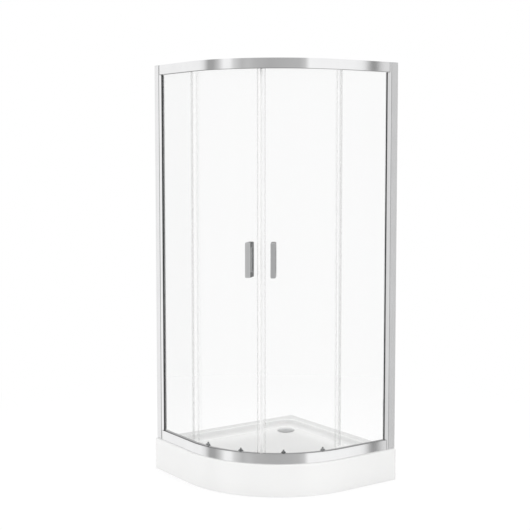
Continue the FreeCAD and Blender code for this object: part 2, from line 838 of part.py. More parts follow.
def hand_point(hand, w, along):
    """Plan point at a depth and a distance along, mirrored for the right side."""
    return (depth(as_size(w)), as_size(along) * hand)


def side_phi(hand):
    """Angle of the straight on the left or on the right."""
    return zero if hand > 0 else as_size(90)


def screw_heights():
    """Heights of the adjusting screws between the profile ends."""
    low = rail_low + screw_margin
    high = top - screw_margin
    return (low, (low + high) / 2, high)


def drill_rows(body, radius, place_along, far, length):
    """Drill the adjusting screw holes through one wall, along the local X axis."""
    sketch = new_sketch(body, "YZ_Plane", far)
    for height in screw_heights():
        add_circle(sketch, place_along, height, radius)
    pocket(body, sketch, length)


def build_side(hand, name):
    """Wall profile, post, fixed pane, gaskets, caps and stops of one side."""
    phi = side_phi(hand)

    def ring(corners):
        return [hand_point(hand, w, along) for w, along in corners]

    face = wall_profile_face
    back = face + wall_profile_deep
    wall = wall_profile_skin
    profile_end = wall_line + wall_profile_wide
    profile_top = top - cap_thick
    channel = [
        (face, wall_line),
        (back, wall_line),
        (back, profile_end),
        (back - wall, profile_end),
        (back - wall, wall_line + rail_wall),
        (face + wall, wall_line + rail_wall),
        (face + wall, profile_end),
        (face, profile_end),
    ]
    screw_at = (wall_line + screw_place) * hand
    hole = screw_shank / 2 + fit_gap
    profile = plan_piece("wall_profile_" + name, phi, [ring(channel)], rail_low, profile_top)
    drill_rows(profile, hole, screw_at, depth(back - wall - slide_gap), wall + 1)
    keep(profile)

    front = face + wall + slide_gap
    rear = back - wall - slide_gap
    start = wall_line + post_start
    end = wall_line + post_end
    groove_back = wall_line + pane_start - gasket_base
    section = [
        (front, start),
        (rear, start),
        (rear, end),
        (groove_in, end),
        (groove_in, groove_back),
        (groove_out, groove_back),
        (groove_out, end),
        (front, end),
    ]
    rear_room = box_ring(rib_in, rear - post_skin, start + post_skin, end - post_skin)
    front_room = box_ring(
        front + post_skin, rib_in - post_skin, start + post_skin, groove_back - post_skin
    )
    post = plan_piece(
        "post_" + name,
        phi,
        [ring(section), ring(rear_room), ring(front_room)],
        rail_low,
        profile_top,
    )
    notch = ring(box_ring(front - 1, rear + 1, wall_line + rail_end - 0.5, end + 1))
    low_notch = new_sketch(post, "XY_Plane", rail_low)
    add_ring(low_notch, notch)
    pocket(post, low_notch, rail_height + 0.5, reverse=True)
    high_notch = new_sketch(post, "XY_Plane", profile_top)
    add_ring(high_notch, notch)
    pocket(post, high_notch, rail_height + 0.5 - cap_thick)
    drill_rows(post, hole, screw_at, depth(rear - post_skin - 1), post_skin + 2)
    keep(post)

    pane_ring = ring(
        box_ring(fixed_depth, fixed_depth + glass_thick, wall_line + pane_start, pane_past)
    )
    keep(plan_piece("fixed_glass_" + name, phi, [pane_ring], pane_low, pane_high))

    slack = seal_gap / 4
    glass_front = fixed_depth - slack
    glass_back = fixed_depth + glass_thick + slack
    gasket_front = groove_out + slack
    gasket_rear = groove_in - slack
    cushion = [
        (gasket_front, groove_back + slack),
        (gasket_rear, groove_back + slack),
        (gasket_rear, end - 0.5),
        (glass_back, end - 0.5),
        (glass_back, wall_line + pane_start - slack),
        (glass_front, wall_line + pane_start - slack),
        (glass_front, end - 0.5),
        (gasket_front, end - 0.5),
    ]
    gasket = plan_piece("post_gasket", phi, [ring(cushion)], rail_high + 1, top_rail_low - 1)

    cap_ring = ring(box_ring(face, back, wall_line, profile_end))
    cap = plan_piece("profile_cap", phi, [cap_ring], profile_top, top)

    lip_end = depth(door_depth - 0.8)
    grip_out = groove_out
    grip_in = groove_in
    edge = pane_past
    edge_seal = [
        (grip_out, edge - seal_grip),
        (fixed_depth - slack, edge - seal_grip),
        (fixed_depth - slack, edge + slack),
        (glass_back, edge + slack),
        (glass_back, edge - seal_grip),
        (grip_in, edge - seal_grip),
        (grip_in, lip_place),
        (door_depth - 1.2, lip_place),
        (door_depth - 1.2, lip_place + lip_wall),
        (grip_in - 2, lip_place + lip_wall),
        (grip_out, edge + 2),
    ]
    keep(
        plan_piece("fixed_edge_seal_" + name, phi, [ring(edge_seal)], lip_start, top_rail_low - 1)
    )
    return cap, gasket


def build_rail_gaskets():
    """Glazing gaskets in the rail grooves under and over the fixed panes."""
    members = []
    slack = seal_gap / 4
    for hand in (1, -1):
        phi = side_phi(hand)
        start = wall_line + rail_end + 1
        end = zero
        for base, direction in ((rail_low, 1), (top, -1)):
            body = new_body("rail_gasket", phi)
            sketch = new_sketch(body, "XZ_Plane")
            floor = groove_floor + slack
            rise = rail_height - rail_lip
            profile = [
                (groove_out + slack, floor),
                (groove_in - slack, floor),
                (groove_in - slack, rise),
                (fixed_depth + glass_thick + slack, rise),
                (fixed_depth + glass_thick + slack, groove_floor + gasket_base - slack),
                (fixed_depth - slack, groove_floor + gasket_base - slack),
                (fixed_depth - slack, rise),
                (groove_out + slack, rise),
            ]
            corners = [(depth(w), base + direction * as_size(z)) for w, z in profile]
            add_ring(sketch, corners)
            pad(body, sketch, end - start, reverse=hand < 0)
            members.append(body)
    return members


def build_screws(hand):
    """Pan-head screws that fix the post in the wall profile."""
    members = []
    back = wall_profile_face + wall_profile_deep
    for height in screw_heights():
        body = new_body("adjusting_screw", side_phi(hand), height)
        sketch = new_sketch(body, "XY_Plane")
        x = depth(back)
        head = x - screw_head_tall
        tip = x + wall_profile_skin + slide_gap + post_skin + 2
        shank_r = screw_shank / 2
        head_r = screw_head / 2
        along = (wall_line + screw_place) * hand
        add_ring(
            sketch,
            [
                (head, along),
                (tip, along),
                (tip, along + shank_r),
                (x, along + shank_r),
                (x, along + head_r),
                (head + screw_head_tall * 0.5, along + head_r),
                (head, along + head_r * 0.6),
            ],
        )
        axis = sketch.addGeometry(
            Part.LineSegment(
                FreeCAD.Vector(head.value, along.value, 0),
                FreeCAD.Vector(tip.value, along.value, 0),
            ),
            True,
        )
        pin_point(sketch, axis, 1, head, along)
        pin_point(sketch, axis, 2, tip, along)
        turn = body.newObject("PartDesign::Revolution", "adjusting_screw_turn")
        turn.Profile = sketch
        turn.ReferenceAxis = (sketch, ["Axis0"])
        turn.Angle = 360
        members.append(body)
    return members


def build_corner_blocks():
    """Corner blocks that plug each rail end onto its post."""
    members = []
    rear = wall_profile_face + wall_profile_deep - wall_profile_skin - slide_gap - post_skin
    for hand in (1, -1):
        for base, direction in ((rail_low, 1), (top, -1)):
            low = base + direction * (rail_wall + 0.5)
            high = base + direction * (track_under - 0.5)
            if direction < 0:
                low, high = high, low
            body = new_body("corner_block", side_phi(hand))
            sketch = new_sketch(body, "XY_Plane", low)
            corners = [
                (rib_in + 0.3, wall_line + rail_end - 22),
                (rear - 0.3, wall_line + rail_end - 22),
                (rear - 0.3, wall_line + rail_end - 0.2),
                (rail_depth - 2, wall_line + rail_end - 0.2),
                (rail_depth - 2, wall_line + rail_end + 22),
                (rib_in + 0.3, wall_line + rail_end + 22),
            ]
            add_ring(sketch, [hand_point(hand, w, along) for w, along in corners])
            pad(body, sketch, high - low)
            members.append(body)
    return keep(group("corner_blocks", members))


def build_stops():
    """Rubber stops in the track that limit how far each door opens."""
    members = []
    for hand in (1, -1):
        for base, direction in ((rail_low, 1), (top, -1)):
            low = base + direction * (rail_wall + 0.1)
            high = base + direction * (track_under - 0.1)
            if direction < 0:
                low, high = high, low
            body = new_body("door_stop", side_phi(hand))
            sketch = new_sketch(body, "XY_Plane", low)
            corners = box_ring(rib_in + 0.1, rail_depth - 1.5, -stop_place - stop_long, -stop_place)
            add_ring(sketch, [hand_point(hand, w, along) for w, along in corners])
            pad(body, sketch, high - low)
            members.append(body)
    return keep(group("door_stops", members))


# ---------------------------------------------------------------- doors
def mirror_phi(hand, angle):
    """Angle on the left door, or its mirror image on the right door."""
    return as_size(angle) if hand > 0 else 90 - as_size(angle)


def drill_glass(body, angle_from_start, spots):
    """Drill round holes through the curved glass at one angle from its start."""
    sketch = new_sketch(body, "YZ_Plane", glass_in - 5)
    sketch.AttachmentOffset = FreeCAD.Placement(
        FreeCAD.Vector(0, 0, 0),
        FreeCAD.Rotation(FreeCAD.Vector(0, 1, 0), angle_from_start.value),
    )
    sketch.setExpression("AttachmentOffset.Base.z", None)
    sketch.setExpression("AttachmentOffset.Rotation.Angle", angle_from_start.text)
    for height in spots:
        add_circle(sketch, zero, height, glass_hole / 2)
    cut = pocket(body, sketch, glass_out + 5, reverse=True)
    return cut


def build_door_glass(hand, name):
    """Curved pane with holes for the rollers and the handle."""
    ends = (mirror_phi(hand, trail_angle), mirror_phi(hand, lead_angle))
    start = ends[0] if hand > 0 else ends[1]
    end = ends[1] if hand > 0 else ends[0]
    body = arc_piece(
        "door_glass_" + name, start, end, [box_ring(glass_in, glass_out, door_bottom, glass_top)]
    )
    for angle in (roller_trail_angle, roller_lead_angle):
        drill_glass(body, mirror_phi(hand, angle) - start, (wheel_low, wheel_high))
    grip = mirror_phi(hand, 45 - handle_angle) - start
    drill_glass(body, grip, (handle_height - handle_bolt, handle_height + handle_bolt))
    return keep(body)


def build_magnet_seal(hand, name):
    """Push-on seal at the meeting edge with its magnet strip."""
    phi = mirror_phi(hand, lead_angle)
    out = glass_out + seal_gap / 2
    inn = glass_in - seal_gap
    end = seal_reach - magnet_gap
    box_start = end - magnet_wide - 2 * seal_wall
    neck_in = glass_in + glass_thick * 0.3
    neck_out = glass_in + glass_thick * 0.7
    base = seal_gap + seal_wall
    section = [
        (out, -seal_grip),
        (out + seal_wall, -seal_grip),
        (out + seal_wall, base),
        (neck_out, base),
        (neck_out, box_start),
        (out + seal_wall, box_start),
        (out + seal_wall, end),
        (inn - seal_wall, end),
        (inn - seal_wall, box_start),
        (neck_in, box_start),
        (neck_in, base),
        (inn - seal_wall, base),
        (inn - seal_wall, -seal_grip),
        (inn, -seal_grip),
        (inn, seal_gap),
        (out, seal_gap),
    ]
    room = box_ring(inn, out, box_start + seal_wall, end - seal_wall)
    strip = box_ring(
        inn + seal_gap, out - seal_gap, box_start + seal_wall + 0.1, end - seal_wall - 0.1
    )

    def mirrored(ring):
        return [(as_size(r), as_size(t) * hand) for r, t in ring]

    low = door_bottom + drip_leg + 0.3
    rings = [mirrored(section), mirrored(room)]
    keep(plan_piece("magnet_seal_" + name, phi, rings, low, glass_top))
    keep(plan_piece("magnet_strip_" + name, phi, [mirrored(strip)], low + 2, glass_top - 2))


def build_trail_seal(hand, name):
    """Push-on seal at the trailing edge whose lip closes against the fixed seal."""
    phi = mirror_phi(hand, trail_angle)
    out = glass_out + seal_gap / 2
    inn = glass_in - seal_gap
    lip = lip_place - trail_past - lip_wall - 1.4
    tip = depth(groove_in + 0.7)
    section = [
        (out, seal_grip),
        (out, -seal_gap),
        (inn, -seal_gap),
        (inn, seal_grip),
        (inn - seal_wall, seal_grip),
        (inn - seal_wall, -seal_gap - seal_wall),
        (out + seal_wall, -seal_gap - seal_wall),
        (out + seal_wall, lip - lip_wall),
        (tip, lip - lip_wall),
        (tip, lip),
        (out + seal_wall, lip),
        (out + seal_wall, seal_grip),
    ]
    ring = [(as_size(r), as_size(t) * hand) for r, t in section]
    return keep(plan_piece("trailing_seal_" + name, phi, [ring], rail_high + 1, top_rail_low - 1))


def build_drip_seal(hand, name):
    """Curved drip seal under the lower edge of the door glass."""
    ends = (mirror_phi(hand, trail_angle), mirror_phi(hand, lead_angle))
    start = ends[0] if hand > 0 else ends[1]
    end = ends[1] if hand > 0 else ends[0]
    bottom = door_bottom - 0.15
    lip_low = rail_low + 1
    section = [
        (glass_in - seal_wall - 0.1, bottom + drip_leg),
        (glass_in - seal_wall - 0.1, bottom - 1),
        (glass_in - seal_wall - 2.5, lip_low + 0.5),
        (glass_in - seal_wall - 1.7, lip_low),
        (glass_in + 0.6, bottom - 1.2),
        (glass_out - 0.3, bottom - 1.2),
        (glass_out - 0.3, bottom),
        (glass_in - 0.1, bottom),
        (glass_in - 0.1, bottom + drip_leg),
    ]
    return keep(arc_piece("drip_seal_" + name, start, end, [section]))


def build_wheel(label, phi, height):
    """Crowned wheel with a bore and a recess for the head of its pin."""
    body = new_body(label, phi, height)
    sketch = new_sketch(body, "XZ_Plane")
    out = wheel_radius + wheel_wide / 2
    inn = wheel_radius - wheel_wide / 2
    bore = wheel_pin / 2 + wheel_run
    rim = wheel_outer / 2
    add_ring(
        sketch,
        [
            (inn, bore),
            (inn, rim - 0.8),
            (inn + 0.8, rim),
            (out - 0.8, rim),
            (out, rim - 0.8),
            (out, rim - 5),
            (out - 1.2, rim - 5.4),
            (out - 1.2, bore),
        ],
    )
    revolve(body, sketch, "H_Axis", full_turn)
    return keep(body)


def build_axle(label, phi, height):
    """Stepped roller axle: headed pin, shoulder outside the glass, shank through it."""
    body = new_body(label, phi, height)
    sketch = new_sketch(body, "XZ_Plane")
    out = wheel_radius + wheel_wide / 2
    inn = wheel_radius - wheel_wide / 2
    tail = glass_in - 6
    add_ring(
        sketch,
        [
            (tail, zero),
            (out - 0.3, zero),
            (out - 0.3, wheel_pin / 2 + 1.8),
            (out - 1.0, wheel_pin / 2 + 1.8),
            (out - 1.0, wheel_pin / 2),
            (inn - 0.2, wheel_pin / 2),
            (inn - 0.2, shoulder / 2),
            (glass_out + seat_gap + washer_thick, shoulder / 2),
            (glass_out + seat_gap + washer_thick, cap_wide * 0.36),
            (glass_out + seat_gap, cap_wide * 0.36),
            (glass_out + seat_gap, shank / 2),
            (tail, shank / 2),
        ],
    )
    revolve(body, sketch, "H_Axis", full_turn)
    return body


def build_top_cap(phi):
    """Round domed cap that clamps a top roller from inside the glass."""
    body = new_body("roller_cap", phi, wheel_high)
    sketch = new_sketch(body, "XZ_Plane")
    face = glass_in - seat_gap * 2
    edge = cap_wide / 2
    add_ring(
        sketch,
        [
            (face, shank / 2 + fit_gap),
            (face, edge),
            (face - cap_deep * 0.6, edge),
            (face - cap_deep * 0.9, edge * 0.75),
            (face - cap_deep, edge * 0.5),
            (face - cap_deep, zero),
            (glass_in - 6.3, zero),
            (glass_in - 6.3, shank / 2 + fit_gap),
        ],
    )
    revolve(body, sketch, "H_Axis", full_turn)
    return body


def build_housing(phi):
    """Rounded bottom roller housing inside the glass, bored from above for its release."""
    body = new_body("roller_housing", phi)
    face = glass_in - seat_gap * 2
    radius = housing_wide / 2
    middle = (housing_low + housing_high) / 2
    half = (housing_high - housing_low) / 2 - radius
    sketch = new_sketch(body, "YZ_Plane", face)
    add_slot(sketch, zero, middle, half, radius)
    pad(body, sketch, housing_deep, reverse=True)
    inner = (face - housing_deep).value
    soften(
        body,
        "Chamfer",
        housing_deep * 0.25,
        lambda edge, box: abs(box.XMin - inner) < 0.01 and abs(box.XMax - inner) < 0.01,
    )
    bore = new_sketch(body, "XY_Plane", housing_high + 1)
    add_circle(bore, face - housing_deep / 2, zero, button_wide / 2 + button_run)
    pocket(body, bore, housing_high + 1 - button_low + button_sink)
    seat = new_sketch(body, "YZ_Plane", face)
    add_circle(seat, zero, wheel_low, shank / 2 + fit_gap)
    pocket(body, seat, 6)
    return body


def build_button(label, phi):
    """Release button: round push pin that stands in the top bore of its housing."""
    body = new_body(label, phi)
    sketch = new_sketch(body, "XY_Plane", button_low)
    face = glass_in - seat_gap * 2
    add_circle(sketch, face - housing_deep / 2, zero, button_wide / 2)
    pad(body, sketch, button_high - button_low)
    top = button_high.value
    soften(body, "Fillet", button_wide * 0.16, lambda edge, box: abs(box.ZMin - top) < 0.01)
    return keep(body)


def build_handle(label, phi, outwards):
    """Cast grip: flat bar with two legs, rounded corners and bores for its studs."""
    body = new_body(label, phi, handle_height)
    if outwards:
        seat = glass_out + seat_gap * 2 + washer_thick
        bar = glass_out + handle_reach - handle_thick
        bar_end = glass_out + handle_reach
    else:
        seat = glass_in - seat_gap * 3 - washer_thick
        bar = glass_in - handle_reach + handle_thick
        bar_end = glass_in - handle_reach
    length = bar - seat if outwards else seat - bar
    wide = handle_wide / 2
    tall = handle_long / 2
    sketch = new_sketch(body, "YZ_Plane", seat)
    add_ring(sketch, box_ring(-wide, wide, -tall, tall))
    pad(body, sketch, length + handle_thick, reverse=not outwards)
    soften(
        body,
        "Fillet",
        handle_corner,
        lambda edge, box: box.XLength > 1 and box.YLength < 0.01 and box.ZLength < 0.01,
    )
    open_tall = tall - handle_leg
    opening = new_sketch(body, "YZ_Plane", bar)
    add_ring(opening, box_ring(-wide - 1, wide + 1, -open_tall, open_tall))
    pocket(body, opening, length + 1, reverse=not outwards)
    inner = bar.value

    def inner_corner(edge, box):
        return abs(box.XMin - inner) < 0.01 and box.XLength < 0.01 and box.YLength > 1

    soften(body, "Fillet", handle_corner, inner_corner)
    face = bar_end.value
    soften(
        body,
        "Fillet",
        handle_round,
        lambda edge, box: abs(box.XMin - face) < 0.01 and abs(box.XMax - face) < 0.01,
    )
    bores = new_sketch(body, "YZ_Plane", seat)
    add_circle(bores, zero, handle_bolt, stud_wide / 2 + fit_gap)
    add_circle(bores, zero, -handle_bolt, stud_wide / 2 + fit_gap)
    pocket(body, bores, stud_bite + 1, reverse=outwards)
    return keep(body)


def build_studs(phi):
    """Threaded studs that draw the two handles of a door together."""
    members = []
    outer = glass_out + seat_gap * 2 + washer_thick + stud_bite
    inner = glass_in - seat_gap * 3 - washer_thick - stud_bite
    for offset in (handle_bolt, -handle_bolt):
        body = new_body("handle_stud", phi, handle_height + offset)
        sketch = new_sketch(body, "YZ_Plane", inner)
        add_circle(sketch, zero, zero, stud_wide / 2)
        pad(body, sketch, outer - inner)
        members.append(body)
    return members


def build_washers(phi):
    """Plastic washers between the handle legs and the glass."""
    members = []
    for offset in (handle_bolt, -handle_bolt):
        for seat in (glass_out + seat_gap, glass_in - seat_gap * 2 - washer_thick):
            body = new_body("handle_washer", phi, handle_height + offset)
            sketch = new_sketch(body, "YZ_Plane", seat)
            add_circle(sketch, zero, zero, handle_washer / 2)
            add_circle(sketch, zero, zero, stud_wide / 2 + fit_gap)
            pad(body, sketch, washer_thick)
            members.append(body)
    return members


def build_door(hand, name):
    """One curved sliding door with its seals, handles, rollers and release buttons."""
    build_door_glass(hand, name)
    build_magnet_seal(hand, name)
    build_trail_seal(hand, name)
    build_drip_seal(hand, name)
    grip = mirror_phi(hand, 45 - handle_angle)
    build_handle("handle_outer_" + name, grip, True)
    build_handle("handle_inner_" + name, grip, False)
    keep(group("handle_fixings_" + name, build_studs(grip) + build_washers(grip)))
    axles = []
    caps = []
    housings = []
    for place_name, angle in (("trail", roller_trail_angle), ("lead", roller_lead_angle)):
        phi = mirror_phi(hand, angle)
        tag = "_%s_%s" % (name, place_name)
        build_wheel("wheel_top" + tag, phi, wheel_high)
        build_wheel("wheel_low" + tag, phi, wheel_low)
        build_button("release" + tag, phi)
        axles.append(build_axle("top_axle", phi, wheel_high))
        axles.append(build_axle("low_axle", phi, wheel_low))
        caps.append(build_top_cap(phi))
        housings.append(build_housing(phi))
    keep(group("roller_axles_" + name, axles))
    keep(group("roller_caps_" + name, caps))
    keep(group("roller_housings_" + name, housings))


# ---------------------------------------------------------------- build and write
build_tray()
build_board()
build_legs()
build_drain()
build_rail("bottom_rail", rail_low, 1)
build_rail("top_rail", top, -1)
left_cap, left_gasket = build_side(1, "left")
right_cap, right_gasket = build_side(-1, "right")
keep(group("profile_caps", [left_cap, right_cap]))
keep(group("glazing_gaskets", [left_gasket, right_gasket] + build_rail_gaskets()))
keep(group("post_screws", build_screws(1) + build_screws(-1)))
build_corner_blocks()
build_stops()
build_door(1, "left")
build_door(-1, "right")
doc.recompute()

for item in doc.Objects:
    if "Invalid" in item.State or "Error" in item.State:
        raise RuntimeError("%s did not build: %s" % (item.Label, item.State))
for item in nodes:
    shape = item.Shape
    if shape.isNull() or not shape.isValid():
        raise RuntimeError("%s has no valid shape" % item.Label)

os.makedirs("parts", exist_ok=True)
for item in nodes:
    item.Shape.exportStep("parts/%s.step" % item.Label)
    print("%-28s %2d solids %12.1f mm3" % (item.Label, len(item.Shape.Solids), item.Shape.Volume))
print("%d nodes" % len(nodes))
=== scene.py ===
"""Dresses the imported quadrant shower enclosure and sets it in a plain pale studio."""

import logging
import math
from dataclasses import dataclass
from enum import Enum
from typing import Iterable, Sequence, Union

import bpy
import numpy as np
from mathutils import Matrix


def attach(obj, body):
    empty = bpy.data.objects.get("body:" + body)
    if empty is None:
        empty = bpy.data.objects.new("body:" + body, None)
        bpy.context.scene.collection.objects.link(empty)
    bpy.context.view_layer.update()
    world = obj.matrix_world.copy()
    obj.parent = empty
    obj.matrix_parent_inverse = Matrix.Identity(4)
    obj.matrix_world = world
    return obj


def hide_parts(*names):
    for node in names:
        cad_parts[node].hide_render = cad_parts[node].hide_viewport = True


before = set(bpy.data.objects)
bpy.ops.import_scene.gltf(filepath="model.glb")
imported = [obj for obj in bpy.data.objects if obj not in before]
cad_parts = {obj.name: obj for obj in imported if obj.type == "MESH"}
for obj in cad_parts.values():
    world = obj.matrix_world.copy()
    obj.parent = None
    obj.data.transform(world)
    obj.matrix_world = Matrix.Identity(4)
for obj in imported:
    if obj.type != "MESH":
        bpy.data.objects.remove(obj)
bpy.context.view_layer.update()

LOG = logging.getLogger("enclosure")

Colour = tuple[float, float, float]
Point = tuple[float, float, float]
Value = Union[float, "Sock"]

# The upright axis that both doors turn about, in metres.
BEND_X, BEND_Y = -0.1, 0.1
# A line of sight along a seal crosses up to this many clear faces.
CLEAR_LAYERS = 32
# A face counts as turned to an axis from the first to the second of these parts of its normal.
TURNED_FROM, TURNED_FULL = 0.6, 0.9
# Width in metres over which one finish goes over into another.
SOFT_EDGE = 0.003
# Axes of a surface that keeps its own ones.
LEVEL = ((1, 0, 0), (0, 1, 0), (0, 0, 1))
WHITE = (1.0, 1.0, 1.0)


def linear(grey: float) -> float:
    """Turn a display level from 0 to 255 into a linear one.

    Args:
        grey: Level as it shows on a display.

    Returns:
        The same level in linear light.
    """
    share = grey / 255.0
    return share / 12.92 if share <= 0.04045 else ((share + 0.055) / 1.055) ** 2.4


def shade(colour: Colour, factor: float) -> Colour:
    """Scale a colour by a factor, up to white at most."""
    return tuple(min(1.0, channel * factor) for channel in colour)


class Side(Enum):
    """Which half of the enclosure a piece belongs to."""

    LEFT = "left"
    RIGHT = "right"


class Facing(Enum):
    """Which way a level face looks."""

    UP = 1.0
    DOWN = -1.0


class Place(Enum):
    """Where a roller sits on its door."""

    TRAIL = "trail"
    LEAD = "lead"


class Ray(Enum):
    """Kind of ray that meets a surface, as the renderer names it."""

    CAMERA = "Is Camera Ray"
    TRANSMISSION = "Is Transmission Ray"
    GLOSSY = "Is Glossy Ray"


# ------------------------------------------------------------------ shader tools
class Shader:
    """Builds the node tree of one material or world."""

    def __init__(self, tree: bpy.types.NodeTree) -> None:
        """Start from an empty tree.

        Args:
            tree: Node tree to fill.
        """
        self.tree = tree
        tree.nodes.clear()

    def node(
        self, kind: str, settings: dict[str, object] | None = None, **sockets: object
    ) -> bpy.types.Node:
        """Add one node with its settings first and its sockets after.

        Args:
            kind: Node type.
            settings: Properties of the node, such as the operation of a Math node.
            sockets: Values or links by socket name, with _ for a blank, or i0, i1 by order.

        Returns:
            The new node.
        """
        made = self.tree.nodes.new(kind)
        for name, value in (settings or {}).items():
            if name == "stops":
                self._stops(made, value)
            else:
                setattr(made, name, value)
        for name, value in sockets.items():
            if name[0] == "i" and name[1:].isdigit():
                target = made.inputs[int(name[1:])]
            else:
                target = made.inputs[name.replace("_", " ")]
            self.feed(target, value)
        return made

    def _stops(self, ramp: bpy.types.Node, stops: Sequence[tuple[float, Colour]]) -> None:
        """Write the stops of a colour ramp.

        Args:
            ramp: Colour ramp node.
            stops: Position and colour of each stop.
        """
        elements = ramp.color_ramp.elements
        while len(elements) > 1:
            elements.remove(elements[-1])
        for index, (position, colour) in enumerate(stops):
            element = elements[0] if index == 0 else elements.new(position)
            element.position = position
            element.color = (*colour, 1.0)

    def feed(self, target: bpy.types.NodeSocket, value: object) -> None:
        """Link a socket or set its value.

        Args:
            target: Input socket.
            value: A wrapped socket, a socket, a number, a vector or a colour.
        """
        if isinstance(value, Sock):
            self.tree.links.new(value.socket, target)
        elif isinstance(value, bpy.types.NodeSocket):
            self.tree.links.new(value, target)
        elif isinstance(value, tuple) and target.type == "RGBA":
            target.default_value = (*value, 1.0)
        else:
            target.default_value = value

    def wrap(self, socket: bpy.types.NodeSocket) -> "Sock":
        """Wrap an output so that it takes part in expressions."""
        return Sock(self, socket)

    def position(self) -> "Sock":
        """Object coordinates of the shaded point as a vector."""
        return self.wrap(self.node("ShaderNodeTexCoord").outputs["Object"])

    def normal(self) -> "Sock":
        """Direction that the surface faces as a vector."""
        return self.wrap(self.node("ShaderNodeNewGeometry").outputs["Normal"])

    def ray(self, kind: Ray) -> "Sock":
        """One for rays of this kind, else zero."""
        return self.wrap(self.node("ShaderNodeLightPath").outputs[kind.value])

    def seen(self) -> "Sock":
        """One for what the camera sees, straight or through a clear body, else zero."""
        return self.ray(Ray.CAMERA).highest(self.ray(Ray.TRANSMISSION))

    def split(self, vector: "Sock") -> tuple["Sock", "Sock", "Sock"]:
        """Separate a vector into its X, Y and Z numbers."""
        made = self.node("ShaderNodeSeparateXYZ", Vector=vector)
        return tuple(self.wrap(out) for out in made.outputs)

    def noise(self, scale: float, detail: float = 2.0) -> "Sock":
        """Soft noise over Object coordinates.

        Args:
            scale: Cells per metre.
            detail: Octaves.

        Returns:
            The noise, around 0.5.
        """
        made = self.node("ShaderNodeTexNoise", Vector=self.position(), Scale=scale, Detail=detail)
        return self.wrap(made.outputs[0])

    def blend(self, mask: Value, low: "Colour | Sock", high: "Colour | Sock") -> "Sock":
        """Blend two colours by a mask.

        Args:
            mask: Zero for low, one for high.
            low: Colour at zero.
            high: Colour at one.

        Returns:
            The blended colour.
        """
        made = self.node("ShaderNodeMix", {"data_type": "RGBA"}, i0=mask, i6=low, i7=high)
        return self.wrap(made.outputs[2])

    def mix(self, share: Value, low: bpy.types.Node, high: bpy.types.Node) -> bpy.types.Node:
        """Mix two surfaces or backgrounds by a share.

        Args:
            share: Zero for low, one for high.
            low: Node shown at zero.
            high: Node shown at one.

        Returns:
            The mixing node.
        """
        low_out, high_out = low.outputs[0], high.outputs[0]
        return self.node("ShaderNodeMixShader", i0=share, i1=low_out, i2=high_out)

    def output(self, kind: str, surface: bpy.types.Node) -> None:
        """Send a surface or a background to an output node of this kind."""
        self.node(kind, Surface=surface.outputs[0])


class Sock:
    """A shader value that builds Math nodes when it is used in an expression."""

    def __init__(self, shader: Shader, socket: bpy.types.NodeSocket) -> None:
        """Keep the output socket and its tree.

        Args:
            shader: Builder that owns the tree.
            socket: Output socket.
        """
        self.shader = shader
        self.socket = socket

    def _math(self, operation: str, *values: Value) -> "Sock":
        """Add one Math node.

        Args:
            operation: Math operation.
            values: Operands in order.

        Returns:
            The result.
        """
        sockets = {"i%d" % index: value for index, value in enumerate(values)}
        made = self.shader.node("ShaderNodeMath", {"operation": operation}, **sockets)
        return Sock(self.shader, made.outputs[0])

    def __add__(self, other: Value) -> "Sock":
        """Sum."""
        return self._math("ADD", self, other)

    def __radd__(self, other: Value) -> "Sock":
        """Reflected sum."""
        return self._math("ADD", other, self)

    def __sub__(self, other: Value) -> "Sock":
        """Difference."""
        return self._math("SUBTRACT", self, other)

    def __rsub__(self, other: Value) -> "Sock":
        """Reflected difference."""
        return self._math("SUBTRACT", other, self)

    def __mul__(self, other: Value) -> "Sock":
        """Product."""
        return self._math("MULTIPLY", self, other)

    def __truediv__(self, other: Value) -> "Sock":
        """Quotient."""
        return self._math("DIVIDE", self, other)

    def __lt__(self, other: Value) -> "Sock":
        """One where this is less, else zero."""
        return self._math("LESS_THAN", self, other)

    def __abs__(self) -> "Sock":
        """Size without sign."""
        return self._math("ABSOLUTE", self)

    def power(self, exponent: float) -> "Sock":
        """This value raised to an exponent."""
        return self._math("POWER", self, exponent)

    def highest(self, other: Value) -> "Sock":
        """The larger of two values."""
        return self._math("MAXIMUM", self, other)

    def angle_to(self, other: Value) -> "Sock":
        """Angle whose tangent is this over other, in radians."""
        return self._math("ARCTAN2", self, other)

    def between(self, low: float, high: float) -> "Sock":
        """Go smoothly from zero at low to one at high.

        Args:
            low: Value that gives zero.
            high: Value that gives one.

        Returns:
            The smooth step.
        """
        smooth = {"interpolation_type": "SMOOTHSTEP"}
        made = self.shader.node("ShaderNodeMapRange", smooth, Value=self, From_Min=low, From_Max=high)
        return Sock(self.shader, made.outputs[0])


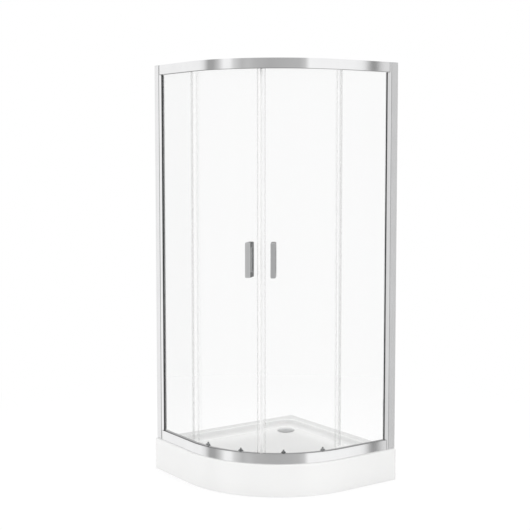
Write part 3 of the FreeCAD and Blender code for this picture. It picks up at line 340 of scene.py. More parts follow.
# ------------------------------------------------------------------ finishes
@dataclass(frozen=True)
class Finish:
    """Base of every finish: one Principled surface on Object coordinates."""

    name: str
    colour: Colour
    roughness: float = 0.4
    metallic: float = 0.0

    def material(self) -> bpy.types.Material:
        """Make the material once and give it again after that.

        Returns:
            The material.
        """
        known = bpy.data.materials.get(self.name)
        if known is not None:
            return known
        made = bpy.data.materials.new(self.name)
        made.use_nodes = True
        shader = Shader(made.node_tree)
        surface = shader.node(
            "ShaderNodeBsdfPrincipled",
            Base_Color=self.colour,
            Roughness=self.roughness,
            Metallic=self.metallic,
        )
        shader.output("ShaderNodeOutputMaterial", surface)
        self.detail(shader, surface)
        return made

    def detail(self, shader: Shader, surface: bpy.types.Node) -> None:
        """Add what the finish varies over the surface; the plain base adds nothing."""

    def run_lines(self, shader: Shader, fine: float = 260.0, stretch: float = 0.012) -> Sock:
        """Fine lines along Z that the die leaves on an extrusion, fading over its length.

        Args:
            shader: Builder of the tree.
            fine: Lines per metre across the section.
            stretch: Pace of the pattern along Z against its pace across.

        Returns:
            The lines, around 0.5.
        """
        slow = (1.0, 1.0, stretch)
        scaled = {"operation": "MULTIPLY"}
        long = shader.node("ShaderNodeVectorMath", scaled, i0=shader.position(), i1=slow)
        made = shader.node("ShaderNodeTexNoise", Vector=long.outputs[0], Scale=fine, Detail=1.0)
        return shader.wrap(made.outputs[0])

    def reach(self, shader: Shader) -> Sock:
        """Distance from the bend axis, measured square to the panes along the straight ends.

        Args:
            shader: Builder of the tree.

        Returns:
            The distance in metres.
        """
        east, north, _ = shader.split(shader.position())
        ahead = (east - BEND_X).highest(0.0)
        before = (BEND_Y - north).highest(0.0)
        return (ahead * ahead + before * before).power(0.5)

    def bump(self, shader: Shader, surface: bpy.types.Node, height: Sock, size: float) -> None:
        """Raise the surface by a height pattern.

        Args:
            shader: Builder of the tree.
            surface: Principled node.
            height: Pattern from 0 to 1.
            size: Depth of the pattern in metres.
        """
        made = shader.node("ShaderNodeBump", Height=height, Distance=size, Strength=1.0)
        shader.feed(surface.inputs["Normal"], made.outputs[0])

    def clouded(self, shader: Shader, pattern: Sock, tone: float, spread: float = 0.2) -> Sock:
        """Darken the colour a little where a pattern is low.

        Args:
            shader: Builder of the tree.
            pattern: Pattern around 0.5.
            tone: Factor on the colour where the pattern is lowest.
            spread: How far from 0.5 the pattern has its full effect.

        Returns:
            The colour over the surface.
        """
        mask = pattern.between(0.5 - spread, 0.5 + spread)
        return shader.blend(mask, shade(self.colour, tone), self.colour)


@dataclass(frozen=True)
class Acrylic(Finish):
    """Gloss sanitary acrylic: a faint orange-peel ripple under a clear gloss."""

    coat: float = 0.25
    coat_roughness: float = 0.08
    ripples: float = 22.0
    ripple_depth: float = 0.0003
    ripple_gloss: float = 0.06
    gloss_floor: float = 0.9
    clouds: float = 3.0
    cloud_tone: float = 0.985
    cloud_spread: float = 0.15

    def detail(self, shader: Shader, surface: bpy.types.Node) -> None:
        """Ripple the gloss and let the colour drift a little.

        Args:
            shader: Builder of the tree.
            surface: Principled node.
        """
        surface.inputs["Coat Weight"].default_value = self.coat
        surface.inputs["Coat Roughness"].default_value = self.coat_roughness
        ripple = shader.noise(self.ripples, 1.0)
        cloud = shader.noise(self.clouds, 1.0)
        tone = self.clouded(shader, cloud, self.cloud_tone, self.cloud_spread)
        shader.feed(surface.inputs["Base Color"], tone)
        rough = self.gloss_floor * self.roughness + ripple * self.ripple_gloss
        shader.feed(surface.inputs["Roughness"], rough)
        self.bump(shader, surface, ripple, self.ripple_depth)


@dataclass(frozen=True)
class Metal(Finish):
    """Polished, plated or satin metal whose gloss drifts a little over its faces."""

    drift: float = 0.04
    # Factor on the colour where shade is painted.
    painted_shade_factor: float = 0.5
    dull_gloss: float = 0.3
    clouds: float = 9.0
    cloud_tone: float = 0.97
    smoothest: float = 0.02

    def painted_shade_mask(self, shader: Shader) -> Sock | None:
        """Where the colour is darkened as painted shade and the gloss made rougher.

        Args:
            shader: Builder of the tree.

        Returns:
            Mask, 1 where shade is painted and the gloss is rougher, or None where the piece has none.
        """
        return None

    def detail(self, shader: Shader, surface: bpy.types.Node) -> None:
        """Vary the gloss, and paint shade with a rougher gloss where the piece has such faces.

        Args:
            shader: Builder of the tree.
            surface: Principled node.
        """
        cloud = shader.noise(self.clouds)
        rough = self.roughness + (cloud - 0.5) * self.drift
        tone = self.clouded(shader, cloud, self.cloud_tone)
        painted_shade_mask = self.painted_shade_mask(shader)
        if painted_shade_mask is not None:
            # Painted shade: darken the colour where the mask is one, and roughen the gloss there.
            tone = shader.blend(painted_shade_mask, tone, shade(self.colour, self.painted_shade_factor))
            rough = rough + painted_shade_mask * self.dull_gloss
        shader.feed(surface.inputs["Roughness"], rough.highest(self.smoothest))
        shader.feed(surface.inputs["Base Color"], tone)


@dataclass(frozen=True)
class RailMetal(Metal):
    """Bright rail with painted shade: darker and rougher on a level face, at its ends and along its
    low edge.
    """

    facing: Facing = Facing.UP
    level_from: float = 0.522
    rail_end: float = 0.395
    end_shade_depth: float = 0.003
    end_shade_fade: float = 0.001
    low_edge: float | None = None
    low_edge_tall: float = 0.0012
    low_edge_fade: float = 0.0018

    def painted_shade_mask(self, shader: Shader) -> Sock:
        """Mark where shade is painted: the level face from a distance on, the rail ends and, if set,
        the low edge.

        Args:
            shader: Builder of the tree.

        Returns:
            Mask, 1 where the rail is painted darker and rougher.
        """
        rise = shader.split(shader.normal())[2] * self.facing.value
        east, north, height = shader.split(shader.position())
        beyond = self.reach(shader).between(self.level_from, self.level_from + SOFT_EDGE)
        # Painted shade on the level face: under the top rail, along the top of the bottom rail.
        mask = rise.between(TURNED_FROM, TURNED_FULL) * beyond
        along = north.highest(0.0 - east)
        end_shade_from = self.rail_end - self.end_shade_depth
        # Painted shade along the last few millimetres of each rail end.
        mask = mask.highest(along.between(end_shade_from, end_shade_from + self.end_shade_fade))
        if self.low_edge is not None:
            edge_top = self.low_edge + self.low_edge_tall
            # Painted shade as a dark line along the low edge of the fascia.
            mask = mask.highest(1.0 - height.between(edge_top, edge_top + self.low_edge_fade))
        return mask


@dataclass(frozen=True)
class PostMetal(Metal):
    """Bright post whose narrow face along the left pane is painted darker and rougher, as painted
    shade.
    """

    def painted_shade_mask(self, shader: Shader) -> Sock:
        """Mark the faces of the left post that look along its pane.

        Args:
            shader: Builder of the tree.

        Returns:
            Mask, 1 where shade is painted on the post.
        """
        along = shader.split(shader.normal())[0].between(TURNED_FROM, TURNED_FULL)
        return along * (shader.split(shader.position())[0] < 0.0)


@dataclass(frozen=True)
class HandleMetal(Metal):
    """Plated handle whose legs, close to the glass, are painted darker than its bars, as shade."""

    glass_line: float = 0.5005
    leg_end: float = 0.024

    def painted_shade_mask(self, shader: Shader) -> Sock:
        """Mark the legs, on both sides of the glass, where shade is painted.

        Args:
            shader: Builder of the tree.

        Returns:
            Mask, 1 where shade is painted on the handle.
        """
        from_glass = abs(self.reach(shader) - self.glass_line)
        return 1.0 - from_glass.between(self.leg_end, self.leg_end + SOFT_EDGE)


@dataclass(frozen=True)
class ClearGlass(Finish):
    """Toughened clear glass: see-through faces and greener, denser cut edges."""

    body: float = 0.05
    rim: float = 0.09
    rim_blend: float = 0.18
    edge_colour: Colour = (0.42, 0.50, 0.48)
    edge: float = 0.6
    edge_from: float = 0.5
    edge_full: float = 0.8
    specular: float = 0.6

    def detail(self, shader: Shader, surface: bpy.types.Node) -> None:
        """Make faces nearly clear, glancing views milky and level cut edges dense.

        Args:
            shader: Builder of the tree.
            surface: Principled node.
        """
        cut = abs(shader.split(shader.normal())[2]).between(self.edge_from, self.edge_full)
        weight = shader.node("ShaderNodeLayerWeight", Blend=self.rim_blend)
        clear = self.body + shader.wrap(weight.outputs["Fresnel"]) * self.rim
        shader.feed(surface.inputs["Alpha"], clear + cut * (self.edge - self.body))
        shader.feed(surface.inputs["Base Color"], shader.blend(cut, self.colour, self.edge_colour))
        surface.inputs["Specular IOR Level"].default_value = self.specular


@dataclass(frozen=True)
class ClearVinyl(Finish):
    """Translucent push-on seal: clear web, denser lips and a channel on the glass, soft gloss."""

    web: float = 0.07
    lip: float = 0.34
    grip: float = 0.05
    inner: float | None = None
    outer: float | None = None
    turn: float | None = None
    fade: float = 0.0015
    turn_fade: float = 0.1
    line_body: float = 0.002
    line_tone: float = 0.97
    line_gloss: float = 0.1

    def detail(self, shader: Shader, surface: bpy.types.Node) -> None:
        """Let the web show through and thicken the vinyl where the section is thick.

        The distance from the bend axis tells the channel on the door glass and the lip on
        the fixed glass from the web between them. The angle from the meeting line tells
        the foot of a meeting seal from its face.

        Args:
            shader: Builder of the tree.
            surface: Principled node.
        """
        east, north, _ = shader.split(shader.position())
        east, north = east - BEND_X, north - BEND_Y
        lips: Value = 0.0
        grips: Value = 0.0
        if self.inner is not None and self.outer is not None:
            reach = (east * east + north * north).power(0.5)
            grips = 1.0 - reach.between(self.inner, self.inner + self.fade)
            lips = reach.between(self.outer - self.fade, self.outer)
        if self.turn is not None:
            angle = abs(north.angle_to(east) + math.pi / 4) * (180.0 / math.pi)
            lips = angle.between(self.turn - self.turn_fade, self.turn)
        run = self.run_lines(shader)
        dense = lips * (self.lip - self.web) + grips * (self.grip - self.web)
        shader.feed(surface.inputs["Alpha"], self.web + run * self.line_body + dense)
        shader.feed(surface.inputs["Base Color"], self.clouded(shader, run, self.line_tone))
        shader.feed(surface.inputs["Roughness"], self.roughness + (run - 0.5) * self.line_gloss)


@dataclass(frozen=True)
class Moulded(Finish):
    """Moulded plastic or rubber: fine grain and slight mottling."""

    grain: float = 420.0
    grain_depth: float = 0.00004
    grain_gloss: float = 0.12
    clouds: float = 18.0
    cloud_tone: float = 0.93

    def detail(self, shader: Shader, surface: bpy.types.Node) -> None:
        """Grain the surface and mottle its colour.

        Args:
            shader: Builder of the tree.
            surface: Principled node.
        """
        fine = shader.noise(self.grain, 3.0)
        cloud = shader.noise(self.clouds)
        shader.feed(surface.inputs["Base Color"], self.clouded(shader, cloud, self.cloud_tone))
        shader.feed(surface.inputs["Roughness"], self.roughness + (fine - 0.5) * self.grain_gloss)
        self.bump(shader, surface, fine, self.grain_depth)


@dataclass(frozen=True)
class Extruded(Finish):
    """Opaque extruded strip: faint lines along its length and a soft sheen."""

    line_tone: float = 0.97
    line_gloss: float = 0.12

    def detail(self, shader: Shader, surface: bpy.types.Node) -> None:
        """Run the lines through colour and gloss.

        Args:
            shader: Builder of the tree.
            surface: Principled node.
        """
        run = self.run_lines(shader)
        shader.feed(surface.inputs["Base Color"], self.clouded(shader, run, self.line_tone))
        shader.feed(surface.inputs["Roughness"], self.roughness + (run - 0.5) * self.line_gloss)


@dataclass(frozen=True)
class Chipboard(Finish):
    """Raw particle board: pressed chips in several browns."""

    dark: Colour = (0.30, 0.20, 0.11)
    chips: float = 210.0
    chip_depth: float = 0.0003

    def detail(self, shader: Shader, surface: bpy.types.Node) -> None:
        """Scatter flat chips and bump them slightly.

        Args:
            shader: Builder of the tree.
            surface: Principled node.
        """
        cells = shader.node("ShaderNodeTexVoronoi", Vector=shader.position(), Scale=self.chips)
        mask = shader.split(shader.wrap(cells.outputs["Color"]))[0]
        shader.feed(surface.inputs["Base Color"], shader.blend(mask, self.dark, self.colour))
        self.bump(shader, surface, mask, self.chip_depth)


WHITE_ACRYLIC = Acrylic("white_acrylic", (0.86, 0.86, 0.855), 0.22)
# The top rail is painted darker, as shade, on its downward faces, at its ends and along its low edge.
TOP_RAIL_METAL = RailMetal(
    "top_rail_bright_aluminium", (0.84, 0.84, 0.845), 0.045, 1.0, 0.01,
    painted_shade_factor=0.25, facing=Facing.DOWN, level_from=0.4, low_edge=2.060,
)
# The bottom rail is painted darker, as shade, on its upward faces behind the fascia and at its ends.
LOW_RAIL_METAL = RailMetal(
    "low_rail_bright_aluminium", (0.84, 0.84, 0.845), 0.045, 1.0, 0.01, painted_shade_factor=0.35
)
PROFILE_METAL = Metal("profile_bright_aluminium", (0.80, 0.80, 0.805), 0.12, 1.0, 0.03)
# The left post's face along its pane is painted darker, as shade.
POST_METAL = PostMetal(
    "post_bright_aluminium", (0.86, 0.86, 0.865), 0.05, 1.0, 0.02, painted_shade_factor=0.33
)
SATIN = Metal("satin_chrome", (0.74, 0.745, 0.75), 0.30, 1.0, 0.06)
COVER_METAL = Metal("satin_drain_cover", (0.90, 0.905, 0.91), 0.34, 1.0, 0.06)
CHROME = Metal("polished_chrome", (0.78, 0.785, 0.79), 0.06, 1.0, 0.03)
# The handle legs next to the glass are painted darker, as shade.
HANDLE_METAL = HandleMetal(
    "handle_chrome", (0.78, 0.785, 0.79), 0.06, 1.0, 0.03, painted_shade_factor=0.58, dull_gloss=0.05
)
ROLLER_CHROME = Metal("roller_chrome", (0.40, 0.405, 0.41), 0.16, 1.0, 0.05)
ZINC = Metal("zinc_plate", (0.55, 0.56, 0.58), 0.36, 1.0, 0.10)
PANE = ClearGlass("clear_toughened_glass", (0.50, 0.52, 0.515), 0.03, body=0.045, rim=0.06)
SEAL = ClearVinyl("translucent_vinyl", (0.70, 0.705, 0.705), 0.34)
SIDE_SEAL = ClearVinyl(
    "translucent_side_vinyl", (0.66, 0.665, 0.665), 0.34,
    web=0.03, lip=0.30, inner=0.503, outer=0.5255,
)
MEETING_SEAL = ClearVinyl(
    "translucent_meeting_vinyl", (0.66, 0.665, 0.665), 0.34, web=0.03, lip=0.16, turn=1.95
)
MAGNET = Extruded("magnetic_rubber", (0.92, 0.92, 0.915), 0.5)
GASKET = Moulded("black_glazing_rubber", (0.075, 0.076, 0.078), 0.55)
NYLON = Moulded("white_nylon", (0.80, 0.80, 0.78), 0.38)
GREY_PLASTIC = Moulded("grey_moulded_plastic", (0.52, 0.53, 0.54), 0.34)
TRAP_PLASTIC = Moulded("white_trap_plastic", (0.78, 0.78, 0.77), 0.36)
FOOT_PLASTIC = Moulded("black_foot_plastic", (0.03, 0.03, 0.032), 0.5)
BOARD = Chipboard("raw_chipboard", (0.52, 0.38, 0.23), 0.8)


def dress(finish: Finish, nodes: Iterable[str]) -> None:
    """Give CAD nodes a finish on every material slot.

    Args:
        finish: Finish to give.
        nodes: Names of CAD nodes.
    """
    for name in nodes:
        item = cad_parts[name]
        if not item.data.materials:
            item.data.materials.append(finish.material())
        for slot in item.material_slots:
            slot.material = finish.material()
        LOG.info("dressed %s as %s", name, finish.name)


# ------------------------------------------------------------------ worked surfaces
@dataclass(frozen=True)
class Surface:
    """A closed surface as points and faces."""

    points: np.ndarray
    faces: list[tuple[int, ...]]

    def moved(self, axes: Sequence[Sequence[float]], place: Sequence[float]) -> "Surface":
        """Turn the surface to new axes and move it.

        Args:
            axes: Three rows that X, Y and Z of the surface become.
            place: Where its origin goes.

        Returns:
            The surface in its place.
        """
        turned = self.points @ np.asarray(axes, dtype=float)
        return Surface(turned + np.asarray(place), self.faces)


def about_axis(radius: np.ndarray, height: np.ndarray, ring: bool = False) -> Surface:
    """Close a surface given by radius and height over rows and angles.

    The point of row i and column j is (r cos a, r sin a, h) with a = 2 pi j / columns. Rows
    climb the outside. The ends are closed by fans to their middles, or, for a ring, the
    last row joins the first.

    Args:
        radius: Radius over rows and columns.
        height: Height over rows and columns.
        ring: True where the section closes on itself.

    Returns:
        The closed surface.
    """
    rows, columns = radius.shape
    angle = 2.0 * np.pi * np.arange(columns) / columns
    points = np.stack([radius * np.cos(angle), radius * np.sin(angle), height], axis=-1)
    points = points.reshape(-1, 3)
    last = rows if ring else rows - 1
    i, j = np.meshgrid(np.arange(last), np.arange(columns), indexing="ij")
    up, side = (i + 1) % rows, (j + 1) % columns
    quads = np.stack(
        [i * columns + j, i * columns + side, up * columns + side, up * columns + j], axis=-1
    ).reshape(-1, 4)
    faces = [tuple(quad) for quad in quads.tolist()]
    if ring:
        return Surface(points, faces)
    low, high = len(points), len(points) + 1
    middles = np.array([[0.0, 0.0, height[0].mean()], [0.0, 0.0, height[-1].mean()]])
    column = np.arange(columns)
    after = (column + 1) % columns
    base = (rows - 1) * columns
    under = np.stack([np.full(columns, low), after, column], axis=-1)
    over = np.stack([np.full(columns, high), base + column, base + after], axis=-1)
    faces += [tuple(tri) for tri in np.vstack([under, over]).tolist()]
    return Surface(np.vstack([points, middles]), faces)


def join(surfaces: Iterable[Surface]) -> Surface:
    """Put surfaces into one, with their faces renumbered.

    Args:
        surfaces: Surfaces to join.

    Returns:
        The one surface.
    """
    points, faces, count = [], [], 0
    for item in surfaces:
        points.append(item.points)
        faces += [tuple(number + count for number in face) for face in item.faces]
        count += len(item.points)
    return Surface(np.vstack(points), faces)


def thread(radius: float, pitch: float, length: float, columns: int = 20) -> Surface:
    """Work out a screw thread with flat crests and roots and tapered ends.

    The radius at height h and angle a is the crest less the depth times one minus t, where
    t is twice the distance of h / pitch - a / (2 pi) from a half turn, stretched so that
    it stays flat at crest and root. Near both ends the radius falls to the root.

    Args:
        radius: Radius of the crest.
        pitch: Height of one turn.
        length: Length of the thread.
        columns: Points round the thread.

    Returns:
        The closed thread, standing on its origin.
    """
    rows_per_turn = 6
    rows = int(length / pitch * rows_per_turn) + 1
    depth = 0.54 * pitch
    stretch, root_flat = 1.3, 0.15
    level = np.linspace(0.0, length, rows)[:, None] * np.ones((1, columns))
    angle = np.arange(columns)[None, :] / columns
    wave = np.abs(2.0 * ((level / pitch - angle) % 1.0) - 1.0)
    crest = np.clip(stretch * wave - root_flat, 0.0, 1.0)
    edge = np.minimum(level, length - level)
    return about_axis(np.minimum(radius - depth * (1.0 - crest), radius - depth + edge), level)


def hex_nut(across: float, bore: float, tall: float, columns: int = 48) -> Surface:
    """Work out a chamfered hexagon nut with its bore.

    The outer radius at angle a is half the width across flats over cos(a' - 30 degrees),
    a' being a within its sixth of a turn, and no more than a cone that opens from each
    face at 30 degrees to it.

    Args:
        across: Width across flats.
        bore: Radius of the bore.
        tall: Height of the nut.
        columns: Points round the nut.

    Returns:
        The closed nut, standing on its origin.
    """
    face_radius = 0.485 * across
    chamfer_tall = 0.09 * across
    angle = 2.0 * np.pi * np.arange(columns) / columns
    flat = 0.5 * across / np.cos(angle % (np.pi / 3) - np.pi / 6)
    chamfer = np.array([0.0, 0.25, 0.5, 0.75, 1.0]) * chamfer_tall
    level = np.concatenate([[0.0], chamfer, tall - chamfer[::-1], [tall]])[:, None]
    edge = np.minimum(level, tall - level)
    outer = np.minimum(flat[None, :], face_radius + edge / math.tan(math.pi / 6))
    outer[0], outer[-1] = bore, bore
    return about_axis(outer, level * np.ones((1, columns)), True)


def cross_screw(head: float, tall: float, shank: float, length: float) -> Surface:
    """Work out a pan-head screw with a cross recess, its head above the origin.

    The head is a low dome: height falls with the fourth power of the distance from the
    middle. The recess is cut where the nearer arm of the cross is less than half its
    width away and the farther one less than its length.

    Args:
        head: Radius of the head.
        tall: Height of the head.
        shank: Radius of the shank.
        length: Length of the shank below the origin.

    Returns:
        The closed screw.
    """
    columns = 64
    row = np.ones((1, columns))
    dome_fall, rim_tall = 0.42, 0.45 * tall
    arm_half, arm_wall = 0.13 * head, 0.06 * head
    arm_long, arm_end = 0.62 * head, 0.16 * head
    recess = 0.62 * tall
    tip, tip_from = 0.6 * shank, 0.85 * length
    angle = 2.0 * np.pi * np.arange(columns) / columns
    share = np.linspace(1.0, 0.02, 22)[:, None]
    reach = head * share * row
    dome = tall * (1.0 - dome_fall * share**4) * row
    east, north = np.abs(reach * np.cos(angle)), np.abs(reach * np.sin(angle))
    arm = np.clip((arm_half - np.minimum(east, north)) / arm_wall, 0.0, 1.0)
    arm *= np.clip((arm_long - np.maximum(east, north)) / arm_end, 0.0, 1.0)
    dome -= recess * arm
    lower_r = np.array([tip, shank, shank, head, head])[:, None] * row
    lower_h = np.array([-length, -tip_from, 0.0, 0.0, rim_tall])[:, None] * row
    return about_axis(np.vstack([lower_r, reach]), np.vstack([lower_h, dome]))


def push_pin(radius: float, tall: float) -> Surface:
    """Work out a turned push pin with grip grooves and a dished top.

    The radius dips by a cosine wave over the upper third for the grooves, rounds over at
    the top edge, and the top falls to its middle with the square of the distance.

    Args:
        radius: Radius of the pin.
        tall: Height of the pin.

    Returns:
        The closed pin, standing on its origin.
    """
    row = np.ones((1, 40))
    groove_deep, groove_from, groove_to, groove_pitch = 0.00035, 0.62, 0.9, 0.07
    foot, rounding, dish_deep, dish_share = 0.0006, 0.0013, 0.0009, 0.92
    level = np.linspace(0.0, 1.0, 61)
    wave = 0.5 - 0.5 * np.cos((level - groove_from) * 2 * np.pi / groove_pitch)
    grooves = np.where((level > groove_from) & (level < groove_to), wave, 0.0)
    side_r = np.minimum(radius - groove_deep * grooves, radius - foot + level * tall)
    side_h = level * (tall - rounding)
    turn = np.linspace(0.0, math.pi / 2, 7)[1:]
    edge_r = radius - rounding * (1.0 - np.cos(turn))
    edge_h = tall - rounding * (1.0 - np.sin(turn))
    share = np.linspace(dish_share, 0.04, 10)
    dish_r = (radius - rounding) * share
    dish_h = tall - dish_deep * (1.0 - (share / dish_share) ** 2)
    r = np.concatenate([side_r, edge_r, dish_r])[:, None] * row
    h = np.concatenate([side_h, edge_h, dish_h])[:, None] * row
    return about_axis(r, h)


def wedge(wide: float, proud: float, long: float, arc_points: int = 9) -> Surface:
    """Work out a rubber wedge: a quarter of an ellipse drawn out along Z.

    The section starts in its corner and goes round x = wide cos t, y = proud sin t for t
    from 0 to a quarter turn. The side faces join the two ends.

    Args:
        wide: Width along X.
        proud: Height along Y.
        long: Length along Z.
        arc_points: Points on the round side.

    Returns:
        The closed wedge, with its corner on the origin.
    """
    turn = np.linspace(0.0, np.pi / 2, arc_points)
    arc = np.stack([wide * np.cos(turn), proud * np.sin(turn)], axis=-1)
    section = np.vstack([[0.0, 0.0], arc])
    count = len(section)
    ends = [np.column_stack([section, np.full(count, level)]) for level in (0.0, long)]
    first = np.arange(count)
    after = (first + 1) % count
    sides = np.stack([first, after, after + count, first + count], axis=-1)
    faces = [tuple(quad) for quad in sides.tolist()]
    faces += [tuple(reversed(range(count))), tuple(range(count, 2 * count))]
    return Surface(np.vstack(ends), faces)


@dataclass(frozen=True)
class NewPiece:
    """What a worked surface needs to become a piece of the object."""

    name: str
    finish: Finish
    slot: str
    body: str
    stands_for: tuple[str, ...]

    def make(self, surface: Surface, smooth_below: float) -> None:
        """Make the mesh, dress it and tie it to its body.

        Args:
            surface: Closed surface in metres, in its place.
            smooth_below: Edges flatter than this angle in degrees are shaded smooth.
        """
        mesh = bpy.data.meshes.new(self.name)
        mesh.from_pydata(surface.points.tolist(), [], surface.faces)
        mesh.polygons.foreach_set("use_smooth", np.ones(len(surface.faces), dtype=bool))
        mesh.set_sharp_from_angle(angle=math.radians(smooth_below))
        mesh.materials.append(self.finish.material())
        mesh.update()
        item = bpy.data.objects.new(self.name, mesh)
        bpy.context.scene.collection.objects.link(item)
        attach(item, self.body)
        if self.stands_for:
            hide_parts(*self.stands_for)
        LOG.info("made %s with %d faces", self.name, len(surface.faces))


# ------------------------------------------------------------------ sub-assemblies
@dataclass
class Tray:
    """Tray shell with its board, legs, waste and domed drain cover."""

    legs: tuple[tuple[float, float], ...] = (
        (-0.320, 0.030), (-0.030, 0.320), (-0.320, -0.275), (0.275, 0.320), (0.140, -0.140)
    )
    rod: float = 0.006
    pitch: float = 0.00175
    rod_low: float = 0.014
    rod_high: float = 0.102
    nut_low: float = 0.088
    nut_tall: float = 0.010
    nut_across: float = 0.01974
    nut_play: float = 0.0001

    def studs(self) -> None:
        """Cut the threads of the leg studs and set a chamfered nut on each."""
        rod = thread(self.rod, self.pitch, self.rod_high - self.rod_low)
        nut = hex_nut(self.nut_across, self.rod + self.nut_play, self.nut_tall)
        parts = []
        for x, y in self.legs:
            parts.append(rod.moved(LEVEL, (x, y, self.rod_low)))
            parts.append(nut.moved(LEVEL, (x, y, self.nut_low)))
        piece = NewPiece("threaded_leg_studs", ZINC, "zinc", "enclosure", ("leg_studs",))
        piece.make(join(parts), 35.0)

    def build(self) -> None:
        """Cut the studs and dress every other piece of the tray."""
        self.studs()
        dress(WHITE_ACRYLIC, ["shower_tray"])
        dress(BOARD, ["base_board"])
        dress(ZINC, ["leg_plates"])
        dress(FOOT_PLASTIC, ["leg_feet"])
        dress(SATIN, ["waste_flange"])
        dress(COVER_METAL, ["drain_cover"])
        dress(GASKET, ["waste_gasket"])
        dress(TRAP_PLASTIC, ["trap_body", "trap_insert"])


class Rails:
    """Bent rails with their corner blocks, gaskets and door stops, and the profile caps."""

    def build(self) -> None:
        """Dress the rails and what sits in and on them."""
        dress(LOW_RAIL_METAL, ["bottom_rail"])
        dress(TOP_RAIL_METAL, ["top_rail"])
        dress(GREY_PLASTIC, ["corner_blocks", "profile_caps"])
        dress(GASKET, ["door_stops", "glazing_gaskets"])


@dataclass
class PostScrews:
    """Cross-recess screws that fix the posts in the wall profiles."""

    head: float = 0.004
    head_tall: float = 0.0024
    shank: float = 0.002
    shank_long: float = 0.007
    seat: float = 0.413
    line: float = 0.424
    heights: tuple[float, ...] = (0.310, 1.135, 1.960)

    def build(self) -> None:
        """Drive every screw from inside the enclosure: left ones face back, right ones left."""
        screw = cross_screw(self.head, self.head_tall, self.shank, self.shank_long)
        facing_left = ((0, 1, 0), (0, 0, 1), (-1, 0, 0))
        facing_back = ((1, 0, 0), (0, 0, -1), (0, 1, 0))
        parts = []
        for height in self.heights:
            parts.append(screw.moved(facing_left, (self.seat, self.line, height)))
            parts.append(screw.moved(facing_back, (-self.line, -self.seat, height)))
        piece = NewPiece("cross_recess_screws", ZINC, "zinc", "enclosure", ("post_screws",))
        piece.make(join(parts), 30.0)


@dataclass
class GlazingWedges:
    """Rubber wedges that press the fixed panes against their posts."""

    post_edge: float = 0.3849
    face: float = 0.4297
    thick: float = 0.0052
    wide: float = 0.003
    proud: float = 0.0022
    low: float = 0.2103
    high: float = 2.0597

    def build(self) -> None:
        """Press one wedge in each corner of pane and post, outside and inside."""
        strip = wedge(self.wide, self.proud, self.high - self.low)
        back = self.face - self.thick
        up, down = (0, 0, 1), (0, 0, -1)
        parts = [
            strip.moved([(1, 0, 0), (0, -1, 0), down], (-self.post_edge, -self.face, self.high)),
            strip.moved([(1, 0, 0), (0, 1, 0), up], (-self.post_edge, -back, self.low)),
            strip.moved([(0, -1, 0), (1, 0, 0), up], (self.face, self.post_edge, self.low)),
            strip.moved([(0, -1, 0), (-1, 0, 0), down], (back, self.post_edge, self.high)),
        ]
        piece = NewPiece("glazing_wedges", GASKET, "gasket", "enclosure", ())
        piece.make(join(parts), 30.0)


@dataclass
class WallSide:
    """Wall profile, post and fixed pane of one side."""

    side: Side

    def build(self) -> None:
        """Dress the pieces of this side."""
        tag = self.side.value
        dress(PROFILE_METAL, ["wall_profile_" + tag])
        dress(POST_METAL, ["post_" + tag])
        dress(PANE, ["fixed_glass_" + tag])
        dress(SIDE_SEAL, ["fixed_edge_seal_" + tag])


@dataclass
class Door:
    """Curved sliding door with its seals, handles and rollers."""

    side: Side
    trail_turn: float = 9.1
    lead_turn: float = 32.5
    pin: float = 0.00475
    pin_low: float = 0.204
    pin_high: float = 0.2195
    pin_reach: float = 0.49145

    def release_pin(self, place: Place) -> None:
        """Stand one turned release pin in its housing.

        Args:
            place: Which housing of this door.
        """
        turn = self.trail_turn if place is Place.TRAIL else self.lead_turn
        angle = math.radians(-90.0 + turn if self.side is Side.LEFT else -turn)
        east = BEND_X + self.pin_reach * math.cos(angle)
        north = BEND_Y + self.pin_reach * math.sin(angle)
        pin = push_pin(self.pin, self.pin_high - self.pin_low)
        name = "release_%s_%s" % (self.side.value, place.value)
        piece = NewPiece("push_" + name, ROLLER_CHROME, "chrome", name, (name,))
        piece.make(pin.moved(LEVEL, (east, north, self.pin_low)), 50.0)

    def build(self) -> None:
        """Dress the pieces of this door and stand its release pins."""
        tag = self.side.value
        dress(PANE, ["door_glass_" + tag])
        dress(MEETING_SEAL, ["magnet_seal_" + tag])
        dress(SIDE_SEAL, ["trailing_seal_" + tag])
        dress(SEAL, ["drip_seal_" + tag])
        dress(MAGNET, ["magnet_strip_" + tag])
        dress(HANDLE_METAL, ["handle_outer_" + tag, "handle_inner_" + tag])
        dress(CHROME, ["roller_axles_" + tag])
        dress(ROLLER_CHROME, ["roller_caps_" + tag, "roller_housings_" + tag])
        dress(ZINC, ["handle_fixings_" + tag])
        for place in Place:
            spot = "_%s_%s" % (tag, place.value)
            dress(NYLON, ["wheel_top" + spot, "wheel_low" + spot])
            self.release_pin(place)


# ------------------------------------------------------------------ studio
@dataclass(frozen=True)
class Lamp:
    """One large soft square lamp: where it hangs, the point it faces, its side and its watts."""

    name: str
    place: Point
    aim: Point
    size: float
    power: float

    def hang(self) -> None:
        """Hang the lamp, out of sight of the metal."""
        data = bpy.data.lights.new(self.name, "AREA")
        data.size = self.size
        data.energy = self.power
        item = bpy.data.objects.new(self.name, data)
        bpy.context.scene.collection.objects.link(item)
        item.location = self.place
        east, north, up = (to - at for to, at in zip(self.aim, self.place))
        tilt = math.atan2(math.hypot(east, north), -up)
        item.rotation_euler = (tilt, 0.0, math.atan2(north, east) - math.pi / 2)
        item.visible_glossy = False


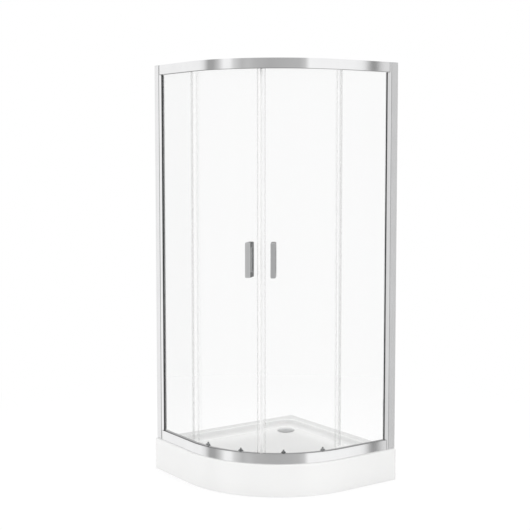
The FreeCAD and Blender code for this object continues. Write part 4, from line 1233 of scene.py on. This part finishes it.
@dataclass
class Studio:
    """Pale floor, soft lamps, banded surroundings for metal, and the camera.

    Each band is a compass angle in degrees and the display level that metal shows there.
    """

    camera_at: Point = (4.6307, -3.3114, 1.6708)
    yaw: float = 54.8714
    pitch: float = 4.7404
    lens: float = 75.7584
    sensor: float = 36.0
    shift: float = -0.04
    far_clip: float = 200.0
    floor_half: float = 40.0
    floor_drop: float = 0.0005
    floor_tone: float = 0.97
    floor_glow: float = 0.78
    floor_near: float = 0.8
    floor_far: float = 2.6
    soft_light: float = 0.90
    ceiling_tone: float = 0.95
    ceiling_from: float = 0.5
    ceiling_full: float = 0.85
    metal_tone: float = 0.83
    strip_lean: float = 0.45
    strip_fall: tuple[float, float] = (130.2, 130.6)
    strip_depth: float = 0.85
    strip_rise: tuple[float, float] = (130.75, 131.15)
    strip_gain: float = 0.75
    bands: Sequence[tuple[float, float]] = (
        (-180.0, 150.0), (-125.0, 160.0), (-85.0, 230.0), (-62.0, 238.0), (-41.0, 238.0),
        (-34.0, 222.0), (-26.5, 160.0), (-20.0, 160.0), (-13.5, 192.0), (-6.0, 240.0),
        (1.0, 240.0), (6.0, 208.0), (15.0, 181.0), (22.0, 187.0), (30.0, 177.0), (45.0, 170.0),
        (77.0, 178.0), (83.0, 195.0), (88.0, 242.0), (131.0, 241.0), (132.6, 205.0),
        (134.5, 192.0), (137.0, 70.0), (154.0, 70.0), (157.0, 180.0), (168.0, 110.0),
    )
    lamps: Sequence[Lamp] = (
        Lamp("key", (1.2, -5.0, 4.2), (0.0, 0.0, 0.9), 3.5, 28.0),
        Lamp("fill", (5.0, 0.5, 3.0), (0.0, 0.0, 0.8), 3.5, 18.0),
        Lamp("overhead", (-0.3, 0.3, 5.5), (0.0, 0.0, 0.0), 4.0, 86.0),
    )

    def build(self) -> None:
        """Make floor, surroundings, lamps and camera."""
        self.floor()
        self.surroundings()
        for lamp in self.lamps:
            lamp.hang()
        self.camera()

    def floor(self) -> None:
        """Lay a wide pale floor that takes the shadow of the object.

        Towards its far parts it glows to the camera until it is white like the surroundings.
        """
        half, low = self.floor_half, -self.floor_drop
        corners = [(-half, -half, low), (half, -half, low), (half, half, low), (-half, half, low)]
        mesh = bpy.data.meshes.new("floor")
        mesh.from_pydata(corners, [], [(0, 1, 2, 3)])
        item = bpy.data.objects.new("floor", mesh)
        bpy.context.scene.collection.objects.link(item)
        item.visible_glossy = False
        made = bpy.data.materials.new("pale_floor")
        made.use_nodes = True
        shader = Shader(made.node_tree)
        lit = shader.node("ShaderNodeBsdfDiffuse", Color=(self.floor_tone,) * 3)
        glow = shader.node("ShaderNodeEmission", Color=WHITE, Strength=1.0)
        east, north, _ = shader.split(shader.position())
        away = (east * east + north * north).power(0.5)
        far = away.between(self.floor_near, self.floor_far)
        share = shader.seen() * (self.floor_glow + far * (1.0 - self.floor_glow))
        shader.output("ShaderNodeOutputMaterial", shader.mix(share, lit, glow))
        mesh.materials.append(made)

    def surroundings(self) -> None:
        """White for the camera, pale and dim bands by compass angle for metal.

        A narrow leaning strip among the bands is dimmer, and it is too fine for the ramp.
        """
        world = bpy.data.worlds.new("studio")
        bpy.context.scene.world = world
        world.use_nodes = True
        shader = Shader(world.node_tree)
        way = shader.wrap(shader.node("ShaderNodeTexCoord").outputs["Generated"])
        east, north, up = shader.split(way)
        turn = east.angle_to(0.0 - north) / (2 * math.pi) + 0.5
        stops = [
            ((angle + 180.0) / 360.0, (linear(level) / self.metal_tone,) * 3)
            for angle, level in self.bands
        ]
        ramp = shader.node("ShaderNodeValToRGB", {"stops": stops}, Fac=turn)
        overhead = abs(up).between(self.ceiling_from, self.ceiling_full)
        ceiling = (self.ceiling_tone,) * 3
        colour = shader.blend(overhead, shader.wrap(ramp.outputs[0]), ceiling)
        angle = turn * 360.0 - 180.0 + up * self.strip_lean
        fall = angle.between(*self.strip_fall) * self.strip_depth
        rise = angle.between(*self.strip_rise) * self.strip_gain
        banded = shader.node("ShaderNodeBackground", Color=colour, Strength=1.0 - fall + rise)
        soft = shader.node("ShaderNodeBackground", Color=WHITE, Strength=self.soft_light)
        white = shader.node("ShaderNodeBackground", Color=WHITE, Strength=1.0)
        unseen = shader.mix(shader.ray(Ray.GLOSSY), soft, banded)
        shader.output("ShaderNodeOutputWorld", shader.mix(shader.seen(), unseen, white))

    def camera(self) -> None:
        """Set the camera at the angle of the photograph."""
        data = bpy.data.cameras.new("camera")
        data.sensor_width = self.sensor
        data.sensor_fit = "HORIZONTAL"
        data.lens = self.lens
        data.shift_y = self.shift
        data.clip_end = self.far_clip
        item = bpy.data.objects.new("camera", data)
        bpy.context.scene.collection.objects.link(item)
        item.location = self.camera_at
        item.rotation_euler = (math.radians(90.0 - self.pitch), 0.0, math.radians(self.yaw))
        bpy.context.scene.camera = item


def main() -> None:
    """Build every sub-assembly and the studio."""
    logging.basicConfig(level=logging.INFO, format="%(name)s: %(message)s")
    bpy.context.scene.view_settings.view_transform = "Standard"
    bpy.context.scene.cycles.transparent_max_bounces = CLEAR_LAYERS
    Studio().build()
    Tray().build()
    Rails().build()
    PostScrews().build()
    GlazingWedges().build()
    for side in Side:
        WallSide(side).build()
        Door(side).build()


if __name__ == "__main__":
    main()
